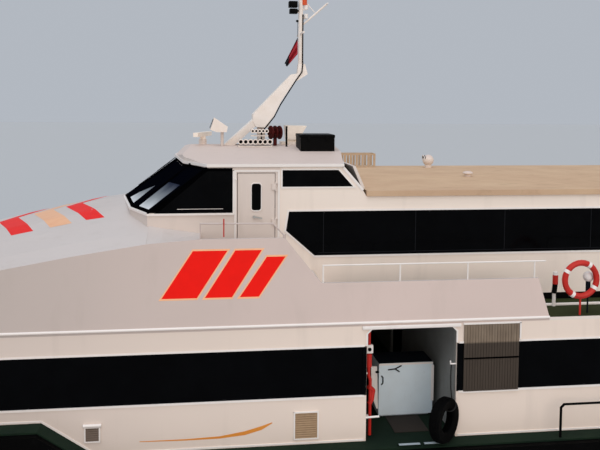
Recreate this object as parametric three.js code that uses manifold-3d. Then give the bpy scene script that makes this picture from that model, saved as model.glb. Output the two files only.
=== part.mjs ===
// A fast passenger ferry with two hulls. Millimetres, +X aft, +Y to starboard, +Z up.
// The origin is on the waterline, on the centreline, halfway along the boat.
import * as THREE from 'three';
import { mergeVertices } from 'three/addons/utils/BufferGeometryUtils.js';
import Module from 'manifold-3d';

const wasm = await Module();
wasm.setup();

// Driving dimensions
const BOW = -14000;
const STERN = 14000;
const GUARD = 4620; // half breadth of the deck at its edge
const SIDE = 4250; // half breadth of the main deck house
const CABIN = 2950; // half breadth of the upper cabin and wheelhouse
const DECK = 1800; // main deck
const FOREDECK = DECK + 620; // raised deck at the bow
const UPPER = DECK + 2200; // upper deck, whose edge is the knuckle
const WALK = DECK + 2900; // bulwark top, and the landing beside the wheelhouse door
const SHOULDER = DECK + 3700; // top of the shoulder beside the wheelhouse
const EAVES = DECK + 4350; // underside of the cabin roof
const SILL = DECK + 4050; // sill of the wheelhouse windows
const HEAD = DECK + 4930; // head of the wheelhouse windows
const PLATE = 60; // decks and walls
const PANE = 14; // window glass
const GAP = 0.3; // between neighbours that touch
const RUN = 12; // round anything that moves

const STEP_AFT = -6750; // foot of the ramp up to the foredeck
const STEP_FWD = -7660; // head of that ramp
const HOUSE_FWD = -9600; // where the side walls meet the wall round the nose
const HOUSE_AFT = 9600;
const NOSE_AFT = -5900;
const ENTRY_FWD = -1940; // side entrance
const ENTRY_AFT = -240;
const ENTRY_HEAD = DECK + 2090;
const DOOR_FWD = -4230; // wheelhouse door opening
const DOOR_AFT = -3490;
const CABIN_FWD = -3400;
const CABIN_AFT = 8200;
const PORT = -1;
const STARBOARD = 1;

// Finishes
const paint = (color, roughness = 0.45, metalness = 0) => ({ color, roughness, metalness });
const WHITE = paint(0xd9d2cb);
const DARK_GLASS = paint(0x08090b, 0.08);
const GREEN = paint(0x2c3d28, 0.8);
const TAN = paint(0xb6a486, 0.9);
const BLACK = paint(0x17181a, 0.7);
const RED = paint(0xa8231c, 0.5);
const GREY = paint(0x8e9aa1, 0.5);
const STEEL = paint(0xb9bab8, 0.35, 0.9);
const BRONZE = paint(0xa8834a, 0.35, 0.9);
const CREAM = paint(0xd8cdb4, 0.5);
const WOOD = paint(0x8d8579, 0.85);

const ferry = new THREE.Group();

// Solids: a geometry becomes a manifold for cutting and joining, and goes back to be a mesh.
function solid(geometry) {
  const bare = geometry.index ? geometry.toNonIndexed() : geometry.clone();
  bare.deleteAttribute('normal');
  bare.deleteAttribute('uv');
  const merged = mergeVertices(bare, 1e-3);
  return new wasm.Manifold(new wasm.Mesh({
    numProp: 3,
    vertProperties: merged.attributes.position.array,
    triVerts: new Uint32Array(merged.index.array),
  }));
}

function geometryOf(body) {
  const mesh = body.getMesh();
  const geometry = new THREE.BufferGeometry();
  geometry.setAttribute('position', new THREE.BufferAttribute(new Float32Array(mesh.vertProperties), 3));
  geometry.setIndex(new THREE.BufferAttribute(new Uint32Array(mesh.triVerts), 1));
  geometry.computeVertexNormals();
  return geometry;
}

function join(...bodies) {
  return bodies.reduce((whole, body) => whole.add(body));
}

function cut(body, ...tools) {
  return tools.reduce((whole, tool) => whole.subtract(tool), body);
}

function piece(name, body, finish) {
  const mesh = new THREE.Mesh(geometryOf(body), new THREE.MeshStandardMaterial(finish));
  mesh.name = name;
  ferry.add(mesh);
}

// Shapes
function box(x0, x1, y0, y1, z0, z1) {
  const [ya, yb] = y0 < y1 ? [y0, y1] : [y1, y0];
  const geometry = new THREE.BoxGeometry(x1 - x0, yb - ya, z1 - z0);
  geometry.translate((x0 + x1) / 2, (ya + yb) / 2, (z0 + z1) / 2);
  return solid(geometry);
}

function outline(points) {
  return new THREE.Shape(points.map(([a, b]) => new THREE.Vector2(a, b)));
}

const FLAT = { bevelEnabled: false, steps: 1 };

// A side view outline [x, z], as thick as y0 to y1.
function sidePlate(points, y0, y1) {
  const [ya, yb] = y0 < y1 ? [y0, y1] : [y1, y0];
  const geometry = new THREE.ExtrudeGeometry(outline(points), { ...FLAT, depth: yb - ya });
  geometry.rotateX(Math.PI / 2);
  geometry.translate(0, yb, 0);
  return solid(geometry);
}

// A plan outline [x, y], from z0 up to z1.
function planPlate(points, z0, z1) {
  const geometry = new THREE.ExtrudeGeometry(outline(points), { ...FLAT, depth: z1 - z0 });
  geometry.translate(0, 0, z0);
  return solid(geometry);
}

// An end view outline [y, z], from x0 aft to x1.
function endPlate(points, x0, x1) {
  const geometry = new THREE.ExtrudeGeometry(outline(points), { ...FLAT, depth: x1 - x0 });
  geometry.rotateX(Math.PI / 2);
  geometry.rotateZ(Math.PI / 2);
  geometry.translate(x0, 0, 0);
  return solid(geometry);
}

// A closed body from loose triangles, nine numbers each, turned to face out if they face in.
function closed(positions) {
  const geometry = new THREE.BufferGeometry();
  geometry.setAttribute('position', new THREE.Float32BufferAttribute(positions, 3));
  const body = solid(geometry);
  if (body.volume() >= 0) return body;
  const turned = [];
  for (let i = 0; i < positions.length; i += 9) {
    const [a, b, c] = [0, 3, 6].map((k) => positions.slice(i + k, i + k + 3));
    turned.push(...a, ...c, ...b);
  }
  geometry.setAttribute('position', new THREE.Float32BufferAttribute(turned, 3));
  return solid(geometry);
}

// A skin through sections of equal length, closed at both ends.
function loft(sections, flat = sectionPlane(sections[0])) {
  const around = sections[0].length;
  const positions = [];
  const triangle = (a, b, c) => positions.push(...a, ...b, ...c);
  for (let i = 0; i + 1 < sections.length; i += 1) {
    for (let k = 0; k < around; k += 1) {
      const n = (k + 1) % around;
      triangle(sections[i][k], sections[i + 1][k], sections[i + 1][n]);
      triangle(sections[i][k], sections[i + 1][n], sections[i][n]);
    }
  }
  const last = sections.length - 1;
  for (const end of [0, last]) {
    const face = sections[end].map((p) => new THREE.Vector2(p[flat[0]], p[flat[1]]));
    const way = THREE.ShapeUtils.area(face);
    for (const corners of THREE.ShapeUtils.triangulateShape(face, [])) {
      const same = THREE.ShapeUtils.area(corners.map((k) => face[k])) * way > 0;
      const [a, b, c] = corners.map((k) => sections[end][k]);
      if (same === (end === 0)) triangle(a, b, c);
      else triangle(a, c, b);
    }
  }
  return closed(positions);
}

// The two axes that a section's face is flat in: y and z where x doesn't change, else x and y.
function sectionPlane(section) {
  return section.every((p) => p[0] === section[0][0]) ? [1, 2] : [0, 1];
}

// A round bar from a to b, with sides flats.
function bar(a, b, radius, sides = 10) {
  const from = new THREE.Vector3(...a);
  const along = new THREE.Vector3(...b).sub(from);
  const geometry = new THREE.CylinderGeometry(radius, radius, along.length(), sides);
  geometry.translate(0, along.length() / 2, 0);
  const turn = new THREE.Quaternion().setFromUnitVectors(
    new THREE.Vector3(0, 1, 0), along.normalize());
  geometry.applyQuaternion(turn);
  geometry.translate(...a);
  return solid(geometry);
}

// Round bars through a run of points, each run on past its bends so that they join.
function pipe(points, radius, sides = 6) {
  const parts = [];
  for (let i = 0; i + 1 < points.length; i += 1) {
    const from = new THREE.Vector3(...points[i]);
    const to = new THREE.Vector3(...points[i + 1]);
    const past = to.clone().sub(from).setLength(radius * 0.6);
    if (i > 0) from.sub(past);
    if (i + 2 < points.length) to.add(past);
    parts.push(bar(from.toArray(), to.toArray(), radius, sides));
  }
  return join(...parts);
}

const mirrored = (points) => [
  ...points,
  ...points.slice().reverse().filter(([, y]) => y !== 0).map(([x, y]) => [x, -y]),
];

// Hulls
const HULL_Y = 3300; // centreline of each hull
const HULL_IN = 1150; // from there to the tunnel side
const KEEL = 30; // half breadth of the keel's flat
const SHAFT_Z = -1150;
const PROP_X = 12600;
const RUDDER_X = 13350;
const BOSS_Z = -520; // underside of the rudder boss

const under = (z) => z - PLATE - GAP;
const HULL_SECTIONS = [
  // x, keel z, chine z, chine half breadth, deck edge inboard, top z
  [BOW + 40, 1500, 1900, 25, 60, under(FOREDECK)],
  [-13300, -500, 500, 130, 330, under(FOREDECK)],
  [-12000, -1350, -20, 420, 680, under(FOREDECK)],
  [-10500, -1400, -250, 680, 980, under(FOREDECK)],
  [-8800, -1400, -370, 880, 1100, under(FOREDECK)],
  [STEP_FWD, -1400, -430, 960, HULL_IN, under(FOREDECK)],
  [STEP_AFT, -1400, -460, 1000, HULL_IN, under(DECK)],
  [2000, -1400, -500, 1080, HULL_IN, under(DECK)],
  [10000, -1200, -450, 1080, HULL_IN, under(DECK)],
  [STERN - 40, -350, -250, 1000, HULL_IN, under(DECK)],
];

const DECK_EDGE = [
  // x, y of the deck's edge, from the stern to the bow and back to the middle of the fore end
  [STERN - 40, GUARD - 40],
  [-8800, GUARD],
  [-10500, GUARD - 130],
  [-12000, GUARD - 420],
  [-13300, HULL_Y + 420],
  [BOW + 40, HULL_Y + 60],
  [BOW + 40, HULL_Y - 60],
  [-13200, HULL_Y - 380],
  [-12700, HULL_Y - 900],
  [-12450, 0],
];

// Half breadth of the deck's outer edge at x.
function edgeAt(x) {
  const i = DECK_EDGE.findIndex(([ahead]) => ahead <= x);
  const [x1, y1] = DECK_EDGE[i];
  const [x0, y0] = DECK_EDGE[Math.max(i - 1, 0)];
  return x0 === x1 ? y1 : y1 + ((y0 - y1) * (x - x1)) / (x0 - x1);
}

function hull(name, side) {
  const y = (out) => side * (HULL_Y + out);
  const shell = loft(HULL_SECTIONS.map(([x, keel, chine, wide, inner, top]) => [
    [x, y(-KEEL), keel],
    [x, y(KEEL), keel],
    [x, y(wide), chine],
    [x, side * edgeAt(x), top],
    [x, y(-inner), top],
    [x, y(-Math.min(wide, inner)), chine],
  ]));
  const shaft = bar([9500, y(0), SHAFT_Z], [PROP_X - 140, y(0), SHAFT_Z], 45, 16);
  const strut = sidePlate(
    [[12050, -500], [12350, -500], [12330, SHAFT_Z], [12130, SHAFT_Z]], y(-18), y(18));
  const bearing = bar([12080, y(0), SHAFT_Z], [12380, y(0), SHAFT_Z], 75, 16);
  const boss = bar([RUDDER_X, y(0), -300], [RUDDER_X, y(0), BOSS_Z], 110, 20);
  piece(name, join(shell, shaft, strut, bearing, boss), WHITE);
}

function propeller(name, side) {
  const radius = 400;
  const hub = bar([PROP_X - 139.5, side * HULL_Y, SHAFT_Z], [PROP_X + 120, side * HULL_Y, SHAFT_Z], 85, 20);
  const cone = new THREE.ConeGeometry(84, 130, 20);
  cone.rotateZ(-Math.PI / 2);
  cone.translate(PROP_X + 180, side * HULL_Y, SHAFT_Z);
  const parts = [hub, solid(cone)];
  const blades = 4;
  for (let i = 0; i < blades; i += 1) {
    const blade = new THREE.Shape();
    blade.moveTo(-70, 60);
    blade.quadraticCurveTo(-190, radius * 0.7, -60, radius * 0.97);
    blade.quadraticCurveTo(40, radius * 1.02, 120, radius * 0.85);
    blade.quadraticCurveTo(170, radius * 0.5, 70, 60);
    const geometry = new THREE.ExtrudeGeometry(blade, { ...FLAT, depth: 16, curveSegments: 5 });
    geometry.translate(0, 0, -8);
    geometry.rotateY(side * 0.75);
    geometry.rotateX(Math.PI / 2);
    geometry.rotateX((2 * Math.PI * i) / blades);
    geometry.translate(PROP_X, side * HULL_Y, SHAFT_Z);
    parts.push(solid(geometry));
  }
  piece(name, join(...parts), BRONZE);
}

function rudder(name, side) {
  const y = side * HULL_Y;
  const blade = new THREE.Shape();
  blade.moveTo(-190, 0);
  blade.quadraticCurveTo(-180, 42, -60, 42);
  blade.lineTo(290, 6);
  blade.lineTo(290, -6);
  blade.lineTo(-60, -42);
  blade.quadraticCurveTo(-180, -42, -190, 0);
  const geometry = new THREE.ExtrudeGeometry(blade, { ...FLAT, depth: 960, curveSegments: 5 });
  geometry.translate(RUDDER_X, y, -1540);
  const stock = bar([RUDDER_X, y, -620], [RUDDER_X, y, BOSS_Z - GAP], 38, 16);
  piece(name, join(solid(geometry), stock), WHITE);
}

// Decks
function deckPlan(grow) {
  return mirrored(DECK_EDGE.map(([x, y], i) => {
    const ahead = DECK_EDGE[Math.min(i + 1, DECK_EDGE.length - 1)];
    const behind = DECK_EDGE[Math.max(i - 1, 0)];
    const dx = ahead[0] - behind[0];
    const dy = ahead[1] - behind[1];
    const length = Math.hypot(dx, dy);
    if (i === 0) return [x + grow, y + grow];
    if (i === DECK_EDGE.length - 1) return [x - grow, 0];
    return [x + (dy / length) * grow, y - (dx / length) * grow];
  }));
}

// The stepped line of the deck from the stern to the bow, dropped by down.
const sheer = (down, reach = 0) => [
  [STERN + reach, DECK - down],
  [STEP_AFT, DECK - down],
  [STEP_FWD, FOREDECK - down],
  [BOW - reach, FOREDECK - down],
];

function sheerBand(top, bottom, reach) {
  return sidePlate([...sheer(top, reach), ...sheer(bottom, reach).reverse()], -6000, 6000);
}

const BITTS = [
  // x, y of each pair of mooring posts, deck height
  [-12700, HULL_Y + 50, FOREDECK],
  [13200, HULL_Y + 300, DECK],
];

// Raised strips along the deck's edge at each entrance, where a gangway's end rests
const SILL_STRIPS = { height: 40, y0: 4500, y1: 4580, runs: [[-1410, -1005], [-930, -500]] };

function decks() {
  let plate = sheerBand(0, PLATE, 500).intersect(planPlate(deckPlan(0), 0, 5000));
  for (const [x, y, z] of BITTS) {
    for (const side of [PORT, STARBOARD]) {
      for (const dx of [-170, 170]) {
        plate = plate.add(bar([x + dx, side * y, z - 20], [x + dx, side * y, z + 330], 70, 10));
      }
      plate = plate.add(bar([x - 300, side * y, z + 200], [x + 300, side * y, z + 200], 32, 6));
    }
  }
  for (const side of [PORT, STARBOARD]) {
    for (const [x0, x1] of SILL_STRIPS.runs) {
      plate = plate.add(box(x0, x1, side * SILL_STRIPS.y0, side * SILL_STRIPS.y1,
        DECK - 5, DECK + SILL_STRIPS.height));
    }
  }
  piece('main_deck', plate, GREEN);

  const inner = HULL_Y - HULL_IN - GAP;
  piece('bridge_deck', sidePlate([
    [STERN - 60, under(DECK)],
    [STERN - 60, DECK - 800],
    [-9000, DECK - 850],
    [-11600, DECK - 250],
    [-12150, FOREDECK - 400],
    [-12150, under(FOREDECK)],
    [STEP_FWD, under(FOREDECK)],
    [STEP_AFT, under(DECK)],
  ], -inner, inner), WHITE);

  const strake = sheerBand(30, 250, 700)
    .intersect(cut(planPlate(deckPlan(130), 0, 5000), planPlate(deckPlan(GAP), -10, 5010)));
  piece('rubbing_strake', strake, BLACK);
}

// Main deck house
const BAND_LOW = DECK + 850;
const BAND_HIGH = DECK + 1780;
const FWD_BAND = [
  [-9300, BAND_LOW + 250], [-8700, BAND_HIGH], [-2000, BAND_HIGH], [-2000, BAND_LOW], [-9100, BAND_LOW],
];
const AFT_BAND = [[-180, BAND_LOW], [-180, BAND_HIGH], [8900, BAND_HIGH], [8900, BAND_LOW]];

// An outline made smaller or larger all round, for glass in its opening.
function inset(points, by) {
  const n = points.length;
  const area = points.reduce((sum, [x, y], i) => {
    const [nx, ny] = points[(i + 1) % n];
    return sum + x * ny - nx * y;
  }, 0);
  const turn = area > 0 ? 1 : -1;
  return points.map((p, i) => {
    const a = points[(i + n - 1) % n];
    const b = points[(i + 1) % n];
    const la = Math.hypot(p[0] - a[0], p[1] - a[1]);
    const lb = Math.hypot(b[0] - p[0], b[1] - p[1]);
    const na = [(-(p[1] - a[1]) / la) * turn, ((p[0] - a[0]) / la) * turn];
    const nb = [(-(b[1] - p[1]) / lb) * turn, ((b[0] - p[0]) / lb) * turn];
    const reach = by / (1 + na[0] * nb[0] + na[1] * nb[1]);
    return [p[0] + (na[0] + nb[0]) * reach, p[1] + (na[1] + nb[1]) * reach];
  });
}

function wallAt(side, half, points, thick = PLATE, set = 0) {
  return sidePlate(points, side * (half - set), side * (half - set - thick));
}

function throughWall(side, half, points) {
  return sidePlate(points, side * (half + 200), side * (half - 200));
}

function glass(name, side, half, points, set = 10) {
  piece(name, wallAt(side, half, inset(points, GAP), PANE, set), DARK_GLASS);
}

const DOOR_TOP = ENTRY_HEAD + 20;
const DOOR_LENGTH = ENTRY_AFT - ENTRY_FWD + 60;

function mainSide(label, side) {
  const foot = GAP;
  const wall = wallAt(side, SIDE, [
    [HOUSE_FWD + GAP, FOREDECK + foot],
    [STEP_FWD, FOREDECK + foot],
    [STEP_AFT, DECK + foot],
    [HOUSE_AFT - GAP, DECK + foot],
    [HOUSE_AFT - GAP, UPPER - PLATE - GAP],
    [HOUSE_FWD + GAP, UPPER - PLATE - GAP],
  ]);
  const entry = [[ENTRY_FWD, DECK - 50], [ENTRY_AFT, DECK - 50], [ENTRY_AFT, ENTRY_HEAD - 90],
    [ENTRY_AFT - 90, ENTRY_HEAD], [ENTRY_FWD + 90, ENTRY_HEAD], [ENTRY_FWD, ENTRY_HEAD - 90]];
  const inside = side * (SIDE - PLATE);
  const track = box(ENTRY_FWD - 60, ENTRY_AFT + 1840, inside - side * 60, inside + side * 1,
    DOOR_TOP + 0.5, UPPER - PLATE - GAP);
  piece(`main_side_${label}`, cut(
    wall,
    throughWall(side, SIDE, FWD_BAND),
    throughWall(side, SIDE, AFT_BAND),
    throughWall(side, SIDE, entry),
  ).add(track), WHITE);
  glass(`main_glass_fwd_${label}`, side, SIDE, FWD_BAND);
  glass(`main_glass_aft_${label}`, side, SIDE, AFT_BAND);

  // Entrance door under its track: slid aft behind the wall on the port side, shut to starboard
  const y = (into) => side * (SIDE - PLATE - into);
  const x = side === PORT ? ENTRY_AFT + 30 : ENTRY_FWD - 30;
  const leaf = box(x, x + DOOR_LENGTH, y(RUN), y(RUN + 40), DECK + RUN, DOOR_TOP);
  piece(`entrance_door_${label}`, leaf, WHITE);
}

const FORE_PLAN = [
  // x, y of the house's wall round the nose
  [HOUSE_FWD, SIDE],
  [-10500, SIDE - 150],
  [-11250, SIDE - 620],
  [-11800, SIDE - 1500],
  [-12050, SIDE - 2900],
  [-12100, 0],
];

function foreWall() {
  const outer = mirrored(FORE_PLAN);
  const inner = inset(outer, PLATE).map(([x, y]) => [x > HOUSE_FWD - PLATE - 1 ? HOUSE_FWD + 500 : x, y]);
  piece('fore_wall', cut(
    planPlate(outer, FOREDECK + GAP, UPPER - PLATE - GAP),
    planPlate(inner, FOREDECK - 10, UPPER + 10),
  ), WHITE);
}

function mainAft() {
  const y0 = SIDE - PLATE - GAP;
  const door = { fwd: HOUSE_AFT - 60, half: 430, head: DECK + 1960 };
  piece('main_aft_bulkhead', cut(
    box(door.fwd, HOUSE_AFT, -y0, y0, DECK + GAP, UPPER - PLATE - GAP),
    box(door.fwd - 50, HOUSE_AFT + 50, -door.half, door.half, DECK - 10, door.head),
  ).add(hingeArms(HOUSE_AFT, 1, -door.half, DECK, door.head)), WHITE);
  piece('main_aft_door', aftLeaf(HOUSE_AFT, door.half, DECK, door.head), WHITE);
}

// Hinges of the doors that open aft: the pin stands proud of the bulkhead's aft face.
const PIN = 14;
const PIN_OUT = 22;
const HINGE_HEIGHTS = [0.14, 0.5, 0.86];
const BARREL = 60;

function hingeArms(x, outward, y, low, high) {
  return join(...HINGE_HEIGHTS.flatMap((part) => {
    const z = low + (high - low) * part;
    return [-1, 1].map((up) => {
      const z0 = z + up * (BARREL + 0.5);
      const z1 = z + up * (BARREL + 20);
      return box(x - 20, x + outward * (PIN_OUT + PIN), y - 30, y - 2, Math.min(z0, z1), Math.max(z0, z1))
        .add(bar([x + PIN_OUT, y, Math.min(z0, z1)], [x + PIN_OUT, y, Math.max(z0, z1)], PIN, 12));
    });
  }));
}

function aftLeaf(x, half, low, high) {
  const leaf = box(x - 48, x - 8, -half + RUN, half - RUN, low + RUN, high - RUN);
  const barrels = HINGE_HEIGHTS.map((part) => {
    const z = low + (high - low) * part;
    return bar([x + PIN_OUT, -half, z - BARREL], [x + PIN_OUT, -half, z + BARREL], PIN, 12)
      .add(box(x - 12, x + PIN_OUT + 6, -half + 4, -half + 60, z - BARREL, z + BARREL));
  });
  const port = [[-110, high - 950], [110, high - 950], [110, high - 300], [-110, high - 300]];
  return cut(join(leaf, ...barrels), endPlate(port, x - 100, x + 100));
}

function lobby() {
  const half = SIDE - PLATE - RUN - 40 - RUN;
  const wallFwd = box(ENTRY_FWD - PLATE, ENTRY_FWD, -half, half, DECK + GAP, UPPER - PLATE - GAP);
  const wallAft = box(ENTRY_AFT, ENTRY_AFT + PLATE, -half, half, DECK + GAP, UPPER - PLATE - GAP);
  const doorway = box(ENTRY_FWD - 100, ENTRY_AFT + 100, -500, 500, DECK - 10, DECK + 1960);
  const beam = box(ENTRY_FWD - 1, ENTRY_AFT + 1, -400, 400, UPPER - PLATE - 120, UPPER - PLATE - GAP);
  piece('entrance_lobby', cut(join(wallFwd, wallAft), doorway).add(beam), GREY);
}

const LOCKER = {
  fwd: ENTRY_FWD + 480, aft: ENTRY_AFT - 130, front: -SIDE + 1000, deep: 650, foot: 45, top: 1080,
};

// A steel locker on a plinth set in by 60 mm all round
function locker() {
  const { fwd, aft, front, deep, foot, top } = LOCKER;
  const toe = 60;
  const body = box(fwd, aft, front, front + deep, DECK + foot, DECK + top);
  const plinth = box(fwd + toe, aft - toe, front + toe, front + deep - 50, DECK + GAP, DECK + foot + 1);
  piece('entrance_locker', body.add(plinth), GREY);
}

const TYRE = { outer: 410, x: ENTRY_AFT - 320, y: -SIDE - 292, turn: 0.75 };
const TYRE_PROFILE = [
  // radius, height: round the tread, the side walls and the hollow inside
  [245, -85], [382, -100], [TYRE.outer, -60], [TYRE.outer, 60], [382, 100],
  [245, 85], [210, 60], [290, 50], [290, -50], [210, -60],
];

// An old tyre for a fender, stood on the sill strip and turned to the side
function tyre() {
  const profile = TYRE_PROFILE.map(([r, z]) => new THREE.Vector2(r, z));
  profile.push(profile[0].clone());
  const ring = new THREE.LatheGeometry(profile, 28);
  ring.rotateZ(TYRE.turn);
  ring.translate(TYRE.x, TYRE.y, DECK + SILL_STRIPS.height + TYRE.outer + GAP);
  piece('tyre_fender', solid(ring), BLACK);
}

// Upper deck
const POST = 55;
const UPPER_AFT = 11600;
const BULWARK_AFT = 1550;

function upperDeck() {
  const inside = SIDE - PLATE - GAP;
  const plan = mirrored([
    [UPPER_AFT, SIDE - 300], [UPPER_AFT - 300, SIDE], [BULWARK_AFT + GAP, SIDE],
    [BULWARK_AFT + GAP, inside], [NOSE_AFT, inside],
  ]);
  let plate = planPlate(plan, UPPER - PLATE, UPPER);
  for (const side of [PORT, STARBOARD]) {
    const y = side * (SIDE - 350);
    plate = plate.add(bar([UPPER_AFT - 250, y, DECK + GAP], [UPPER_AFT - 250, y, UPPER - 20], POST, 14));
  }
  piece('upper_deck', plate, GREEN);
}

const NOSE_SECTIONS = [
  // x, half breadth at the knuckle, half breadth and height of the shoulder, height at the centre
  [-12090, 1350, 1200, UPPER + 20, UPPER + 60],
  [-11800, 2750, 2500, UPPER + 170, UPPER + 410],
  [-11250, 3630, 3330, UPPER + 420, UPPER + 750],
  [-10500, 4100, 3780, UPPER + 670, UPPER + 1010],
  [-9600, SIDE, 3950, UPPER + 870, UPPER + 1215],
  [-8500, SIDE, 3984, UPPER + 1020, UPPER + 1475],
  [-7200, SIDE, 3906, UPPER + 1240, UPPER + 1760],
  [NOSE_AFT, SIDE, 3850, UPPER + 1430, UPPER + 1945],
];
const CROWN = [
  // part of the shoulder's breadth, part of the rise
  [0.84, 0.25],
  [0.58, 0.57],
  [0.3, 0.86],
];

function noseRing([x, wide, shoulder, low, high], less, extra = 0) {
  const half = [
    [wide - less, UPPER - PLATE - extra],
    [wide - less, UPPER],
    [shoulder - less * 0.9, low - less],
    ...CROWN.map(([part, rise]) => [(shoulder - less) * part, low + (high - low) * rise - less]),
  ];
  return [
    ...half.map(([y, z]) => [x, y, z]),
    [x, 0, high - less],
    ...half.slice().reverse().map(([y, z]) => [x, -y, z]),
  ];
}

const HOUSE_PLAN_SILL = [[CABIN_FWD, CABIN], [-5930, CABIN], [-6320, 2000], [-6620, 0]];
const HOUSE_PLAN_HEAD = [[CABIN_FWD, CABIN], [-4810, CABIN], [-5230, 1950], [-5420, 0]];

function noseShell() {
  const skin = 70;
  const outer = loft(NOSE_SECTIONS.map((row) => noseRing(row, 0)));
  const rings = NOSE_SECTIONS.slice(1).map((row) => noseRing(row, skin, 100));
  const first = rings[0].map(([, y, z]) => [NOSE_SECTIONS[1][0] - 100, y * 0.8, Math.min(z, UPPER + 150)]);
  const last = rings[rings.length - 1].map(([, y, z]) => [NOSE_AFT + 300, y, z]);
  const inner = loft([first, ...rings, last]);
  const seat = planPlate(mirrored(grown(HOUSE_PLAN_SILL, GAP)), UPPER - 200, 8000);
  piece('nose_shell', cut(outer, inner, seat), WHITE);
}

// The wheelhouse plan made a little larger, for the hole it stands in.
function grown(plan, by) {
  return plan.map(([x, y]) => [x - by, y === 0 ? 0 : y + by]);
}

const LEAN = 0.28; // how far the shoulder leans in for each unit of height

const LANDING = { fwd: -4940, aft: -2750 }; // beside the wheelhouse door, at the walkway's height
const STEPS = [
  // aft edge, height: down from the landing to the upper deck
  [-2500, UPPER + 467],
  [-2250, UPPER + 233],
];

const CAP_SECTIONS = [
  // x, height of the cap over the shoulder's top at its outer edge and at the wheelhouse wall
  [NOSE_AFT + GAP, -75, 120],
  [-5640, -52, 72],
  [LANDING.fwd, -2, -35],
];
const WELL_RAIL = { fwd: -4936, bend: -3623, aft: -3410, top: SHOULDER + 280 }; // beside the door

const leanAt = (z) => SIDE - (z - UPPER) * LEAN;

// The bulwark on the upper deck's edge, higher beside the wheelhouse, with the landing inside it
function shoulder(label, side) {
  const top = SHOULDER + 200;
  const foot = UPPER + GAP;
  const inner = side * (CABIN + GAP);
  const slab = endPlate([
    [side * SIDE, UPPER - PLATE],
    [side * SIDE, UPPER],
    [side * leanAt(top), top],
    [side * (leanAt(top) - PLATE), top],
    [side * (SIDE - PLATE), UPPER],
    [side * (SIDE - PLATE), UPPER - PLATE],
  ], NOSE_AFT + GAP, BULWARK_AFT);
  const shape = [
    [NOSE_AFT + GAP, UPPER - PLATE],
    [BULWARK_AFT, UPPER - PLATE],
    [BULWARK_AFT, UPPER],
    [BULWARK_AFT - 140, WALK],
    [LANDING.aft, WALK],
    [-3400, SHOULDER],
    [LANDING.fwd, SHOULDER],
    [-5640, SHOULDER - 50],
    [NOSE_AFT + GAP, SHOULDER - 70],
  ];
  const panel = slab.intersect(sidePlate(shape, side * 6000, side * 1000));
  const across = (low, high, x0, x1) => endPlate([
    [inner, low], [side * (leanAt(low) - 20), low], [side * (leanAt(high) - 20), high], [inner, high],
  ], x0, x1);
  const cap = loft(CAP_SECTIONS.map(([x, outer, wall]) => {
    const edge = leanAt(SHOULDER + outer) - 8;
    return [
      [x, inner, SHOULDER + outer - 50],
      [x, side * edge, SHOULDER + outer - 50],
      [x, side * edge, SHOULDER + outer],
      [x, inner, SHOULDER + wall],
    ];
  }));
  const well = side * (leanAt(SHOULDER) - PLATE / 2);
  const rail = pipe([
    [WELL_RAIL.fwd, well, SHOULDER - 30], [WELL_RAIL.fwd, well, WELL_RAIL.top],
    [WELL_RAIL.bend, well, WELL_RAIL.top - 15], [WELL_RAIL.aft, well, SHOULDER + 45],
  ], 14);
  const knob = bar([WELL_RAIL.aft, well, SHOULDER - 30], [WELL_RAIL.aft, well, SHOULDER + 65], 28, 8);
  piece(`shoulder_${label}`, join(
    panel,
    rail,
    knob,
    across(WALK - PLATE, WALK, LANDING.fwd, LANDING.aft),
    across(foot, WALK, LANDING.aft - 40, LANDING.aft),
    across(WALK - PLATE, SHOULDER - 40, LANDING.fwd - 40, LANDING.fwd),
    cap,
    ...STEPS.map(([aft, height]) => across(foot, height, LANDING.aft - 30, aft)),
  ), WHITE);
}

const UPPER_BAND = [
  [-3300, DECK + 3680], [-3240, DECK + 4080], [7800, DECK + 4080], [7800, DECK + 3170], [-2720, DECK + 3170],
];
const RAISED_AFT = { foot: -1750, head: -2160 }; // aft end of the raised wheelhouse block

function upperSide(label, side) {
  const wall = wallAt(side, CABIN, [
    [CABIN_FWD + GAP, UPPER + GAP],
    [CABIN_AFT - GAP, UPPER + GAP],
    [CABIN_AFT - GAP, EAVES - GAP],
    [RAISED_AFT.foot + 60, EAVES - GAP],
    [RAISED_AFT.foot, EAVES + 100],
    [RAISED_AFT.head, HEAD - GAP],
    [CABIN_FWD + GAP, HEAD - GAP],
  ]);
  piece(`upper_side_${label}`, cut(wall, throughWall(side, CABIN, UPPER_BAND)), WHITE);
  glass(`upper_glass_${label}`, side, CABIN, UPPER_BAND);
}

function upperAft() {
  const y0 = CABIN - PLATE - GAP;
  const half = 400;
  const head = UPPER + 1950;
  piece('upper_aft_bulkhead', cut(
    box(CABIN_AFT - PLATE, CABIN_AFT, -y0, y0, UPPER + GAP, EAVES - GAP),
    box(CABIN_AFT - 100, CABIN_AFT + 50, -half, half, UPPER - 10, head),
  ).add(hingeArms(CABIN_AFT, 1, -half, UPPER, head)), WHITE);
  piece('upper_aft_door', aftLeaf(CABIN_AFT, half, UPPER, head), WHITE);
}

const ROOF_AFT = 8900;

// Wheelhouse
function mapPlan(plan, z) {
  return mirrored(plan).map(([x, y]) => [x, y, z]);
}

function thinner(plan, by) {
  return plan.map(([x, y], i) => [i === 0 ? x + 200 : x + by * 1.25, y === 0 ? 0 : y - by]);
}

const PANE_SPLITS = [0.06, 0.94]; // edges of each windscreen pane, as parts of its facet

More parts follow.
